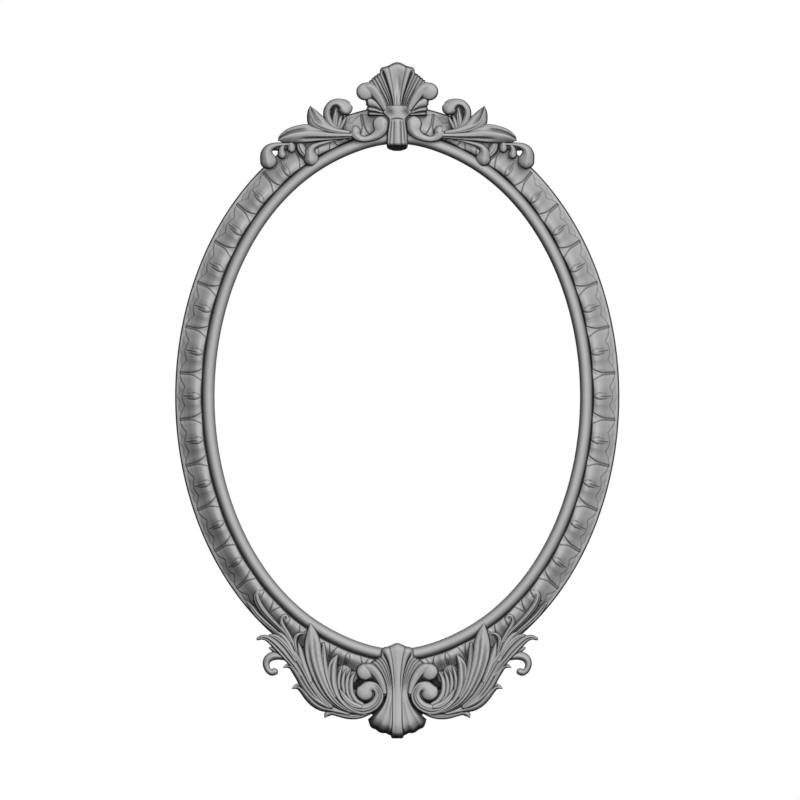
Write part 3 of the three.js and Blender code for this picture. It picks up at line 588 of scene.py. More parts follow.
def recess(angle, out):
    """A short round cutter that stands in the back, with a chamfered mouth."""
    mouth = RECESS_RADIUS + CHAMFER
    bm = bmesh.new()
    bmesh.ops.create_circle(bm, cap_ends=False, segments=40, radius=mouth)
    bmesh.ops.translate(bm, verts=bm.verts, vec=(0, 0, -1))
    bottom = rim = list(bm.edges)
    steps = [(-1, mouth), (0, mouth), (CHAMFER, RECESS_RADIUS), (RECESS_DEPTH, RECESS_RADIUS)]
    for (before, was), (height, radius) in zip(steps, steps[1:]):
        moved, rim = extruded(bm, rim, (0, 0, height - before))
        bmesh.ops.scale(bm, verts=moved, vec=(radius / was, radius / was, 1))
    for loop in (bottom, rim):
        bmesh.ops.contextual_create(bm, geom=loop)
    bmesh.ops.recalc_face_normals(bm, faces=bm.faces)
    bmesh.ops.rotate(bm, verts=bm.verts, cent=(0, 0, 0), matrix=Matrix.Rotation(math.pi / 2, 3, "X"))
    bmesh.ops.scale(bm, verts=bm.verts, vec=(MM, MM, MM))
    bmesh.ops.translate(bm, verts=bm.verts, vec=place(out, angle, 0.0))
    return mesh_from(bm, "recess")


# %% The four lengths of the moulding
LENGTHS = {  # name: start and end in degrees, screws that pass through it
    "rail_top": (60, 120, ["crest_fixing_screw"]),
    "stile_left": (120, 240, []),
    "rail_bottom": (240, 300, ["base_fixing_screw", "leaf_fixing_screw_left", "leaf_fixing_screw_right"]),
    "stile_right": (-60, 60, []),
}
FACES_BACK = 0.7  # a face whose normal points this far backwards belongs to the back


def bare_back(mesh, with_rebate=False):
    """Gives the faces on the flat back, and those in the rebate, the bare wood."""
    mesh.materials.append(painted_wood)
    mesh.materials.append(bare_beech)
    normals, middles = read_rows(mesh.polygons, "normal"), read_rows(mesh.polygons, "center")
    bare = normals[:, 1] > FACES_BACK
    if with_rebate:
        inwards = (normals * middles)[:, [0, 2]].sum(axis=1) < 0
        beside_opening = np.hypot(
            middles[:, 0] / (OPENING_HALF_WIDTH + 2 * REBATE_WIDTH),
            middles[:, 2] / (OPENING_HALF_HEIGHT + 2 * REBATE_WIDTH),
        ) < MM
        bare |= inwards & beside_opening & (middles[:, 1] > -REBATE_DEPTH * MM)
    mesh.polygons.foreach_set("material_index", bare.astype(np.int32))


def carve_leaves(co):
    return on_oval(co, leaf_relief)


for name, (start, end, screws) in LENGTHS.items():
    mesh = bent_length(moulding_outline(), start, end, RUN_STEP, name, carve_leaves)
    if screws:
        cutters = [recess(*FIXING_SCREWS[screw]) for screw in screws]
        mesh = combine([mesh, *cutters], name, "DIFFERENCE")
    bare_back(mesh, with_rebate=True)
    piece(mesh, "carved_" + name, name)

# %% [markdown]
# ## The bead
#
# The bead at the opening is a half round strip, steamed and glued on in four quarters. It is plain
# and smooth, so it is the same blank with a half ellipse for its section.

# %% Bead in four quarters
BEAD_POINTS = 30  # round the half circle
BEAD_STEP = 4.0  # mm between two sections


def bead_outline():
    middle = BEAD_WIDTH / 2
    foot = LIP_FRONT + SEAT_GAP
    arc = [(middle + middle * math.cos(turn), foot + BEAD_HEIGHT * math.sin(turn))
           for turn in np.linspace(0, math.pi, BEAD_POINTS)]
    return arc + [(middle, foot)]


for quarter, name in enumerate(["top_right", "top_left", "bottom_left", "bottom_right"]):
    start = 90 * quarter
    mesh = bent_length(bead_outline(), start, start + 90, BEAD_STEP, "bead", on_oval)
    mesh.materials.append(painted_wood)
    piece(mesh, "half_round_bead_" + name, "sight_bead_" + name)

# %% [markdown]
# ## A carver's strip
#
# Every scroll, leaf and rib of the crest and foot is one kind of form: a strip that runs along a
# bent line, swells and narrows, rises to a crest and falls off at its sides. A sphere has just
# the right mesh for that: its two poles become the ends of the strip, and its rings become the
# sections. So each strip starts as a UV sphere, whose vertices are moved to their sections.
# Veins and flutes are cut into the section as shallow curves.

# %% Smooth line through a few points
TANGENT_STEP = 0.003  # share of a line before and after a place that gives its direction
BEND_STEP = 0.01  # share of a line over which its bend is measured
TIGHTEST = 0.88  # share of a bend's radius that the inner side may use


def smooth_line(points, shares):
    """Catmull-Rom curve through points, at shares from 0 to 1 (equal steps to a point)."""
    points = np.asarray(points, float)
    padded = np.vstack([2 * points[0] - points[1], points, 2 * points[-1] - points[-2]])
    spans = len(points) - 1
    at = np.clip(shares, 0, 1) * spans
    index = np.minimum(at.astype(int), spans - 1)
    t = (at - index)[:, None]
    p0, p1, p2, p3 = (padded[index + k] for k in range(4))
    return 0.5 * (2 * p1 + (p2 - p0) * t + (2 * p0 - 5 * p1 + 4 * p2 - p3) * t**2
                  + (3 * p1 - p0 - 3 * p2 + p3) * t**3)


def direction(points, shares):
    """Which way the smooth line runs, as a vector of length 1."""
    before, after = np.clip(shares - TANGENT_STEP, 0, 1), np.clip(shares + TANGENT_STEP, 0, 1)
    step = smooth_line(points, after) - smooth_line(points, before)
    return step / np.linalg.norm(step, axis=1)[:, None]


def limit_inside(spine, share, reach):
    """Keeps a strip's inner side from passing the middle of its bend."""
    before, after = np.clip(share - BEND_STEP, 0, 1), np.clip(share + BEND_STEP, 0, 1)
    d0, d1 = direction(spine, before), direction(spine, after)
    bend = np.arctan2(d0[:, 0] * d1[:, 1] - d0[:, 1] * d1[:, 0], (d0 * d1).sum(axis=1))
    run = np.linalg.norm(smooth_line(spine, after) - smooth_line(spine, before), axis=1)
    room = TIGHTEST * run / np.maximum(np.abs(bend), 1e-6)
    inner = np.sign(bend) == -np.sign(reach)
    return np.where(inner & (np.abs(reach) > room), room * np.sign(reach), reach)


corner = smooth_line([[0, 0], [1, 0], [1, 1]], np.array([0.25, 0.5, 0.75]))
print("a line round a corner:", corner.round(2).tolist())

# %% [markdown]
# A carving is cut from a block, so its front may not stand out of the block, and its back follows
# what it is glued to: it sinks a little into the moulding and the bead, and lies flat beyond them.

# %% The block that a carving is cut from
ORNAMENT_BACK = 7  # mm in front of the frame's back, beyond the moulding
SEAT_DEPTH = 3.2  # mm that a carving is let into the moulding
FULL_RELIEF = 38  # mm: fronts up to here keep their height
RELIEF_ABOVE = 0.66  # what stands further forward keeps this share of the rest
HIGHEST, LOWEST = 450.5, -461.1  # mm above the frame's middle


def within_the_block(top, place_mm):
    top = np.where(top > FULL_RELIEF, FULL_RELIEF + (top - FULL_RELIEF) * RELIEF_ABOVE, top)
    place_mm[:, 1] = np.clip(place_mm[:, 1], LOWEST, HIGHEST)
    return top, place_mm


def out_of(place_mm):
    """How far outside the opening's edge a place in the picture plane lies, in mm."""
    x, z = np.abs(place_mm).T
    out = np.full(len(x), 25.0)  # a first guess, which each turn of the loop corrects
    for _ in range(6):
        a, b = OPENING_HALF_WIDTH + out, OPENING_HALF_HEIGHT + out * RAIL_AT_TOP / RAIL_AT_SIDE
        level = np.sqrt((x / a) ** 2 + (z / b) ** 2)
        out = out + (level - 1) * np.hypot(x, z) * 0.98
    return out


def back_at(place_mm):
    """Where a carved piece's back lies: just inside the moulding, or flat beyond it."""
    out = out_of(place_mm)
    across_bead = (out - BEAD_WIDTH / 2) / (BEAD_WIDTH / 2)
    bead = LIP_FRONT + BEAD_HEIGHT * np.sqrt(np.clip(1 - across_bead**2, 0, 1))
    over = np.where(out < BEAD_WIDTH, bead, section_front(out))
    inside = np.where(out < 1, REBATE_DEPTH, over - SEAT_DEPTH)
    return np.where(out > RAIL_AT_SIDE - 1, ORNAMENT_BACK, np.maximum(inside, ORNAMENT_BACK))


print("back of a carving on the band: %.1f mm" % back_at(np.array([[0.0, 376.0]]))[0])

# %% Sections of a strip: where they stand and what shape they have
RING_STEP = 1.1  # mm between two sections of a strip
CAP_RINGS = 6  # in each rounded end
FINE_STEPS = 400  # points that measure how long a line is
FRONT_POINTS = 37  # across the front of a section
BACK_POINTS = 5
SIDE_DOWN = [(1.0, 0.45), (0.99, 0.9)]  # two points down each side


def section_sides():
    """For each point round a section: its place across (-1 to 1) and its share of the way back."""
    front = [(side, 0.0) for side in -np.cos(np.linspace(0, math.pi, FRONT_POINTS))]
    back = [(side, 1.0) for side in np.linspace(0.9, -0.9, BACK_POINTS)]
    up = [(-side, share) for side, share in reversed(SIDE_DOWN)]
    return np.array(front + SIDE_DOWN + back + up)


def tent(side, keel):
    """A section's profile, 1 on the ridge and 0 at the sides: round (keel 0) to roof shaped (1)."""
    return np.clip(1 - np.abs(side) ** (2 - 0.8 * keel), 0, 1) ** (0.5 + 0.3 * keel)


def stations_along(spine, start_cap, end_cap):
    """Distances along a line where sections stand, and its length at equal steps of share."""
    fine = smooth_line(spine, np.linspace(0, 1, FINE_STEPS))
    lengths = np.concatenate([[0], np.cumsum(np.hypot(*np.diff(fine, axis=0).T))])
    total = lengths[-1]
    cap_turns = np.linspace(0, math.pi / 2, CAP_RINGS + 1)[:-1]
    stations = np.concatenate([
        -start_cap * np.cos(cap_turns),
        np.linspace(0, total, max(6, int(total / RING_STEP)) + 1),
        total + end_cap * np.cos(cap_turns[::-1]),
    ])
    return stations, lengths


print("points round a strip's section:", len(section_sides()))

# %% Painted shade and grooves of a strip
UNDERSIDE = np.array([-0.45, -0.89])  # the way down in the picture, where the line of painted shade is widest


def painted_rim_shade(outwards, to_edge, half):
    """Painted shade: a dark line along a strip's rim, which is wider where the rim faces down."""
    outwards = outwards / np.maximum(np.linalg.norm(outwards, axis=1), 0.01)[:, None]
    under = np.clip(0.5 + outwards @ UNDERSIDE / 2, 0, 1)
    line_width = np.minimum(0.6 + 1.3 * under, 0.4 * half)
    return step_up(line_width - to_edge, 0.35)


def cut_grooves(cuts, side, share, open_share):
    """How deep the grooves are at each vertex, and how much shade is painted in them."""
    depth, painted_shade = 0 * side, 0 * side
    for across, width, cut_depth, start, end in cuts:
        line = bell(side - across, width) * open_share
        line *= step_up(share - start, 0.05) * step_up(end - share, 0.05)
        depth += cut_depth * line
        painted_shade = np.maximum(painted_shade, 0.5 * min(cut_depth / 2.5, 1) * line)
    return depth, painted_shade


# %% One strip
EDGE_FALL = 9  # mm that a strip's side lies behind its crest, at most
LEAST_HALF = 0.4  # mm, half the width of the thinnest strip


def strip(points, cuts=(), keel=0.6, ridge=(0, 0), shade_all_over=0):
    """A carved strip. points: left of and above the frame's middle, half width, crest height.
    cuts: grooves as (place across, width, depth, from, to), +1 is its right-hand side.
    ridge: where the crest lies across, at the start and at the end. The last argument paints shade all over
    the strip: a dark sheet that stands in a hollow as its shade."""
    points = np.asarray(points, float)
    spine = points[:, :2] * [-1, 1]
    start_cap, end_cap = np.maximum(points[[0, -1], 2], LEAST_HALF)
    stations, lengths = stations_along(spine, start_cap, end_cap)
    total, rings, around = lengths[-1], len(stations) - 1, len(section_sides())
    bm = bmesh.new()
    bmesh.ops.create_uvsphere(bm, u_segments=around, v_segments=rings, radius=1.0)

    def bend(co):
        ring = np.rint((np.arcsin(np.clip(co[:, 2], -1, 1)) / math.pi + 0.5) * rings).astype(int)
        turn = np.rint(np.arctan2(co[:, 1], co[:, 0]) / (2 * math.pi) * around)
        side, depth = section_sides()[np.mod(turn, around).astype(int)].T
        side = np.where((ring == 0) | (ring == rings), 0.0, side)
        station = stations[ring]
        share = np.interp(np.clip(station, 0, total), lengths, np.linspace(0, 1, FINE_STEPS))
        half, crest = smooth_line(points[:, 2:4], share).T
        half = np.maximum(half, LEAST_HALF)
        beyond = np.minimum(station, 0) / start_cap + np.maximum(station - total, 0) / end_cap
        open_share = np.clip(1 - beyond**2, 0, 1)
        cap = np.sqrt(open_share)

        ahead = direction(spine, share)
        aside = np.stack([ahead[:, 1], -ahead[:, 0]], axis=1)
        reach = limit_inside(spine, share, side * half * cap)
        place_mm = smooth_line(spine, share) + ahead * (beyond * half)[:, None] + aside * reach[:, None]

        low = crest - np.minimum(half, EDGE_FALL)
        ridge_at = np.interp(share, [0, 1], ridge)
        from_ridge = (side - ridge_at) / (1 - np.sign(side - ridge_at) * ridge_at)
        grooves, shade_in_grooves = cut_grooves(cuts, side, share, open_share)
        top = low + (crest - low) * cap * tent(from_ridge, keel) - grooves
        back = np.minimum(back_at(place_mm), np.minimum(low, top) - 1)

        outwards = aside * side[:, None] + ahead * beyond[:, None]
        # Painted shade: a dark line along the rim, dark in the grooves, and all over a dark sheet
        rim = painted_rim_shade(outwards, (1 - np.hypot(side * cap, beyond)) * half, half)
        painted_shade = np.maximum(np.maximum(rim, shade_all_over), shade_in_grooves) * (1 - depth)
        top, place_mm = within_the_block(top, place_mm)
        front = top + (back - top) * depth
        return np.stack([place_mm[:, 0], -front, place_mm[:, 1]], axis=1) * MM, painted_shade

    return face_outwards(mesh_from(bm, "strip", bend))


# %% [markdown]
# The two shells and the clasp are wider than a strip can be. They start as a flat grid, made solid,
# whose columns are laid on a fan of lines from a throat to a rim. The height of the surface is then
# a sum of bells and steps over two numbers: the share across the fan and the share along it.


# %% A carved sheet: a fan of lines from which a whole shell is made
def on_fan(lines, across, along):
    """Places in the picture plane at shares across and along a fan of lines and its mirror image."""
    shares = sorted(lines)
    both = [-share for share in reversed(shares[1:])] + shares
    steps, row = np.unique(np.round(along, 5), return_inverse=True)
    spread = np.stack([smooth_line(lines[abs(s)], steps) * [np.sign(s), 1] for s in both])
    even = np.interp(across, both, np.linspace(0, 1, len(both)))
    places = np.empty((len(across), 2))
    for index in range(len(steps)):
        chosen = row == index
        places[chosen] = smooth_line(spread[:, index], even[chosen]) * [-1, 1]
    return places


def carved_sheet(lines, height, name, columns, rows, throat=0, notch=None):
    """lines: {share across: [[left, up], ...]} in mm from the frame's middle, for the left half.
    height(across, along, place) gives the front of the surface and how much shade is painted on it.
    notch(across, along) draws the surface in towards the throat, to scallop its rim."""
    bm = bmesh.new()
    bmesh.ops.create_grid(bm, x_segments=columns, y_segments=rows, size=1)
    bmesh.ops.solidify(bm, geom=list(bm.faces), thickness=1.0)

    def shape(co):
        across, along = np.abs(co[:, 0]), np.clip((co[:, 1] + 1) / 2, 0, 1)
        place_mm = on_fan(lines, co[:, 0], along)
        if notch:
            middle = np.array([0, throat])
            place_mm = middle + (place_mm - middle) * (1 - notch(across, along))[:, None]
        top, painted_shade = height(across, along, place_mm)
        top, place_mm = within_the_block(top, place_mm)
        behind = np.abs(co[:, 2]) > 0.5
        back = np.minimum(back_at(place_mm), top - 1.5)
        front = np.where(behind, back, top)
        painted_shade = np.where(behind, 0.0, painted_shade)
        return np.stack([place_mm[:, 0], -front, place_mm[:, 1]], axis=1) * MM, painted_shade

    return face_outwards(mesh_from(bm, name, shape))


# %% [markdown]
# ## The crest
#
# The crest is carved from one board and pierced: a shell in the middle, held by a clasp, a
# C-scroll and a long leaf on either side, and small curls that reach over the moulding. Each is a
# piece of its own, made of a few strips that are joined into one body. Only the left one of each
# pair is modelled, and the right one is its mirror image.

# %% Shell of the crest
# Lines of the fan from the throat to the rim: share across, then [left, up] in mm
CREST_FAN = {
    0: [[0, 390.4], [0, 402.6], [0, 416.1], [0, 432.2], [0, 450.7]],
    0.25: [[3.2, 390.4], [4.2, 402.6], [5.8, 417.4], [8.6, 431.5], [12.2, 446.2]],
    0.4: [[4.5, 390.4], [6.4, 402.6], [9.2, 415.4], [13.3, 430.4], [17.2, 444.4]],
    0.46: [[5.2, 390.4], [7.4, 402.6], [11, 414.5], [16, 429.6], [21.2, 443.4]],
    0.5: [[6, 390.4], [8.6, 402.6], [12.4, 414], [17.8, 428.2], [23.4, 440.2]],
    0.54: [[6.8, 390.4], [9.6, 402.6], [13.8, 413.7], [19.2, 426.8], [24, 437]],
    0.6: [[8, 390.4], [10.8, 402.3], [15.4, 413.2], [20.8, 425.2], [26.4, 435.4]],
    0.8: [[11.5, 390.2], [15.9, 400.5], [21.2, 410.7], [26.6, 420.8], [32.4, 430.6]],
    1: [[15.5, 389.1], [21.6, 399.2], [27.6, 408.6], [33, 417.4], [38.4, 425.1]],
}
THROAT = 388.0
FINE_RIBS = [0.58, 0.69, 0.8, 0.91]


def lines_at(across, places, width):
    return sum(bell(across - place, width) for place in places)


def rim_fall(along, start, drop):
    """A rounded rim: the surface falls off faster and faster towards the edge."""
    return drop * np.clip((along - start) / (1 - start), 0, 1) ** 2.5


def crest_notch(across, along):
    return (0.014 * lines_at(across, FINE_RIBS, 0.03) + 0.006 * bell(across - 0.25, 0.05)) * along**6


def crest_shell_height(across, along, place_mm):
    """A broad hollow in the middle with a thin rib, a lip, a deep gap and then four fine ribs."""
    flute = bell(across, 0.2)
    top = 40.0 + 3.0 * along
    top -= 6.5 * flute * bell(along - 0.62, 0.26)
    top += 1.6 * bell(across, 0.06) * step_up(0.45 - along, 0.12)
    groove = bell(across - 0.25, 0.022) * step_up(along - 0.1, 0.1)
    top += 2.4 * bell(across - 0.35, 0.09) - 1.4 * groove
    gap = bell(across - 0.47, 0.03) * step_up(0.93 - along, 0.04)
    top -= 6.5 * gap
    ribs = lines_at(across, FINE_RIBS, 0.03)
    top -= 2.6 * ribs
    top -= 2.5 * step_up(across - 0.49, 0.02)
    edge = np.maximum(rim_fall(along, 0.86, 9), 6 * step_up(across - 0.985, 0.02))
    # painted shade in the gap, the ribs and the groove, and along the rim
    painted_shade = np.maximum(0.95 * gap, np.maximum(0.5 * ribs, 0.5 * groove))
    return top - edge, painted_shade + 0.7 * step_up(along - 0.965, 0.01)


# Skirt of three ribs under each ear: share across from the middle outwards, then top to bottom
CREST_SKIRT = {
    0: [[0, 394], [0, 388], [0, 382], [0, 376.5]],
    0.45: [[18, 391.5], [18, 387], [18, 382.5], [18, 378]],
    0.75: [[31, 400.5], [30.5, 393], [29.5, 385.5], [29, 377.5]],
    1: [[42.6, 406], [42.4, 396], [41.4, 387], [39.6, 377.5]],
}
SKIRT_THROAT = 384.0
SKIRT_GROOVES = [0.52, 0.78]


def crest_skirt_height(across, along, place_mm):
    """Three humps side by side, which fall off at the rim and at both ends."""
    top = 38.5 - 4.0 * across - 2.0 * along
    grooves = lines_at(along, SKIRT_GROOVES, 0.05) * step_up(across - 0.5, 0.06)
    humps = np.abs(np.sin(math.pi * np.interp(along, [0, *SKIRT_GROOVES, 1], range(4))))
    top += 2.6 * humps * step_up(across - 0.55, 0.1) - 1.6 * grooves
    edge = 6 * step_up(across - 0.965, 0.02)
    ends = 5 * step_up(0.03 - along, 0.015) + 6 * step_up(along - 0.95, 0.02)
    # painted shade in the grooves, at the ends and along the rim
    shade_in_grooves = np.maximum(0.55 * grooves, 0.9 * step_up(0.05 - along, 0.03))
    shade_at_edge = 0.9 * step_up(along - 0.9, 0.04) + 0.6 * step_up(across - 0.96, 0.02)
    return top - edge - ends, np.maximum(shade_in_grooves, shade_at_edge)


def skirt_notch(across, along):
    return 0.035 * lines_at(along, SKIRT_GROOVES, 0.05) * step_up(across - 0.85, 0.05)


CREST_EARS = [
    # the rolled end of an ear
    dict(points=[[43.4, 410.8, 12, 43.5], [42.8, 411.2, 12, 43.5]], ridge=(-0.3, -0.3), keel=0.2),
    # its stem, which runs down to the throat
    dict(points=[
        [45, 414, 5, 40], [41, 415.6, 7.6, 44], [36, 415, 7.8, 45], [30.6, 410.4, 7.2, 45],
        [25.8, 403.6, 6.4, 44], [21.2, 396, 5.4, 43], [17.3, 388.5, 4, 41],
    ], ridge=(-0.4, -0.3), keel=0.8),
    # a dark sheet: painted shade in the hollow behind it
    dict(points=[[36, 402, 8, 29], [27, 394, 8, 30]], shade_all_over=1),
]


def carve(strips, name, both_sides=False, sheets=()):
    """Joins the strips and sheets of one carved piece into one closed mesh."""
    meshes = list(sheets)
    for item in strips:
        meshes.append(strip(**item))
        if both_sides:
            meshes.append(mirrored(meshes[-1], "strip"))
    mesh = combine(meshes, name)
    bare_back(mesh)
    return mesh


fan = carved_sheet(CREST_FAN, crest_shell_height, "crest_fan", 170, 90, THROAT, crest_notch)
skirt = carved_sheet(CREST_SKIRT, crest_skirt_height, "crest_skirt", 90, 60, SKIRT_THROAT, skirt_notch)
mesh = carve(CREST_EARS, "crest_shell", both_sides=True, sheets=[fan, skirt])
piece(mesh, "carved_crest_shell", "crest_shell")

# %% [markdown]
# The clasp sits over the shell's throat. It has a plate with a dimple on either side, a waist, and
# a fluted tongue that hangs over the bead and turns back at its end.

# %% Clasp of the crest
# How far down from its top and half how wide, in mm
CLASP_HALF = [
    [0, 0.8], [2, 6], [4, 12], [6.5, 17], [9, 20], [11, 20.3], [14, 17], [17, 13.4], [20, 11.6],
    [24, 11.6], [30, 12.4], [37, 13.7], [45, 14.3], [53, 14.4], [57, 14.2], [60, 12.5], [61.5, 8],
    [62.5, 4],
]
CLASP_TOP = 393.3  # height of its upper end above the frame's middle


def clasp_fan():
    """The clasp's outline as a fan whose lines run straight down."""
    down, half = np.array(CLASP_HALF).T
    fine = np.linspace(0, down[-1], 40)
    return {share: [[share * float(np.interp(d, down, half)), CLASP_TOP - float(d)] for d in fine]
            for share in (0.0, 0.5, 1.0)}


def clasp_height(across, along, place_mm):
    """Measured down from the clasp's top: the plate to 18.5 mm, and the tongue from 21.5 mm."""
    down = CLASP_TOP - place_mm[:, 1]
    side = np.abs(place_mm[:, 0])
    plate = step_up(18.5 - down, 1.2)
    dimple = bell(np.hypot(side - 11.0, (down - 11.2) * 0.9), 5.0)
    bump = bell(np.hypot(side * 0.8, down - 7), 7)
    inner, outer = 4.0 + 0.03 * (down - 20), 7.7 + 0.09 * (down - 20)
    flutes = bell(side - inner, 0.9) + bell(side - outer, 0.9)
    tongue = step_up(down - 21.5, 1.5)
    top = 42.5 + 2.5 * plate - 6.0 * dimple * plate + 1.5 * bump
    top += tongue * (1.6 * bell(side, 3.0) + 1.0 * bell(side - (inner + outer) / 2, 1.6) - 1.5 * flutes)
    step_line = bell(down - 19.0 - 0.03 * side**2, 0.8) * step_up(8 - side, 1)
    top -= 1.2 * step_line
    top -= 20 * np.clip((down - 51.5) / 11, 0, 1) ** 1.5
    edge = 9 * step_up(across - 0.93, 0.05) + 5 * np.clip((3 - down) / 3, 0, 1) ** 2
    # painted shade in the flutes, the step and the dimples, along the rim and on the tongue's turned-back
    # end
    painted_shade = 0.55 * flutes * tongue + 0.4 * step_line + (0.8 - 0.5 * plate) * step_up(across - 0.94, 0.02)
    painted_shade = np.maximum(painted_shade, 0.7 * dimple * plate * step_up(side - 9, 3))
    return top - edge, np.maximum(painted_shade, step_up(down - 53.8, 0.8))


mesh = carved_sheet(clasp_fan(), clasp_height, "crest_clasp", 80, 120)
mesh.materials.append(painted_wood)
piece(mesh, "carved_crest_clasp", "crest_clasp")

# %% Scrolls, leaves and curls of the crest
CREST_SIDES = {
    "crest_scroll": [
        dict(points=[
            [22.6, 367.5, 10.7, 45], [22.8, 360, 9.6, 44.5], [26.4, 353.6, 7.2, 43],
            [34.5, 348.8, 5.2, 41], [44.5, 346.6, 4.5, 40], [52, 348.6, 5.4, 40.5],
            [56.8, 353.6, 7.4, 41], [57, 357, 8.3, 41.5],
        ], ridge=(-0.35, 0.1), keel=0.8),
    ],
    "crest_leaf": [
        # the long leaf that points outwards
        dict(points=[
            [160.6, 344.8, 0.7, 35], [157.5, 346.6, 4.6, 36], [152, 348.8, 8, 37.5],
            [144, 351.2, 10.6, 38.5], [134, 353, 12.2, 39], [122, 354.2, 13, 39], [110, 354, 11.6, 39],
            [98, 353, 9.3, 39], [82, 352.6, 7.4, 39], [62, 352.6, 5.2, 38.5],
        ], cuts=[
            (-0.46, 0.15, 4.6, 0.03, 0.55), (-0.78, 0.05, 1, 0.05, 0.6), (0.52, 0.14, 3, 0.5, 1),
            (-0.4, 0.08, 1.4, 0.6, 1), (0.05, 0.07, 1, 0.6, 1),
        ], ridge=(-0.1, 0.1), keel=0.9),
        # the short leaf that stands up
        dict(points=[
            [117.4, 391, 0.8, 35], [115.8, 385, 5.6, 36.5], [113.2, 378, 9.4, 38],
            [109.6, 371.4, 11.6, 39], [102, 365.6, 9.8, 39.5], [92.6, 361, 6.2, 40],
            [81, 357.8, 3.8, 40], [66, 356, 2.6, 39],
        ], cuts=[(-0.2, 0.24, 4, 0.06, 0.55), (0.35, 0.1, 1, 0.3, 0.9)], ridge=(0.1, 0), keel=0.9),
    ],
    "crest_curl": [
        # the curl
        dict(points=[
            [70.8, 389.2, 10.8, 40], [74, 393, 8.6, 39.5], [80.6, 396, 5.6, 38.5],
            [88.2, 394.4, 4.8, 37.5], [93.6, 388, 4.9, 37], [94.8, 380, 5.2, 36], [92, 371, 4.8, 35.5],
            [86, 363.5, 3.6, 35], [77, 359, 2.4, 34],
        ], ridge=(-0.3, -0.1), keel=0.8),
        # a dark sheet: painted shade in the hollow under it
        dict(points=[[80, 384, 9.5, 28], [82, 370, 8.5, 28], [78, 362, 6, 29]], shade_all_over=0.8),
        # three small leaves in the hollow
        dict(points=[
            [82.2, 387.5, 2, 32], [83.4, 378, 4.4, 33.5], [84.2, 368, 4.4, 33.5], [82, 361, 2.5, 33],
        ], cuts=[(-0.3, 0.15, 1.2, 0, 1)], keel=0.8),
        dict(points=[[75.5, 377.5, 1.5, 31.5], [77.6, 371, 3.4, 33], [79.4, 363, 3, 33]], keel=0.9),
        dict(points=[[69.6, 375.5, 1.6, 31], [72.6, 369.5, 3, 32.5], [76, 362, 2.6, 32.5]], keel=0.9),
    ],
    "tail_curl": [
        # the curl
        dict(points=[
            [173.8, 317.6, 11.4, 35], [175.6, 326, 9.2, 35], [173.6, 333, 6.6, 34],
            [167.4, 337.4, 4.6, 33], [159, 339.4, 3, 32], [150, 340, 2.4, 31], [142, 340.4, 2, 31],
        ], ridge=(-0.1, 0.2), keel=0.8),
        # two buds beside it
        dict(points=[[155.6, 326, 6.3, 31], [156.2, 332, 4.6, 31], [154, 338.5, 3, 31]], keel=0.7),
        dict(points=[[142.9, 333.8, 5.9, 32], [143.2, 339.5, 5.4, 32]], keel=0.7),
        # a dark sheet: painted shade on the ground between them
        dict(points=[[166, 335.2, 4, 26], [155, 335.5, 4.6, 26], [140, 336.5, 4.4, 26]], shade_all_over=0.8),
    ],
    "under_curl": [
        # the curl
        dict(points=[
            [116.2, 320.5, 10.5, 37], [117.4, 329, 7.8, 36.5], [114.2, 335.6, 4.9, 35.5],
            [107, 339.4, 3.2, 34], [98, 342, 2.3, 33], [88, 344.4, 1.8, 32], [76, 346.4, 1.3, 32],
        ], ridge=(-0.1, 0.1), keel=0.8),
        # a small leaf on its outer side
        dict(points=[
            [131.5, 340.5, 5.6, 30], [129, 333, 6.6, 30.5], [124, 326, 5.4, 31],
        ], cuts=[(0.35, 0.15, 1, 0, 1)], keel=0.8),
    ],
}


# %% Both sides of the crest
BACK_STEP = 0.2  # mm from one carving's flat back to the next one's


def raise_back(mesh, forward):
    """Brings a carving's flat back forward, so that no two carvings share a plane."""
    places = read_rows(mesh.vertices, "co")
    flat = places[:, 1] > -(ORNAMENT_BACK + 0.01) * MM
    places[flat, 1] -= forward * MM
    mesh.vertices.foreach_set("co", places.ravel())


def carve_pairs(sides):
    for layer, (label, strips) in enumerate(sides.items(), start=1):
        left = carve(strips, label + "_left")
        raise_back(left, BACK_STEP * layer)
        right = mirrored(left, label + "_right")
        for side, mesh in (("_left", left), ("_right", right)):
            piece(mesh, "carved_" + label + side, label + side)


carve_pairs(CREST_SIDES)

# %% [markdown]
# ## The foot
#
# The foot is built in the same way, upside down: a tall shell with a waist, a volute with a ball
# in its eye on either side, a long blade that reaches over the bead, and behind it a fan of small
# acanthus leaves, hooked leaves and thin tendrils that run up the moulding.

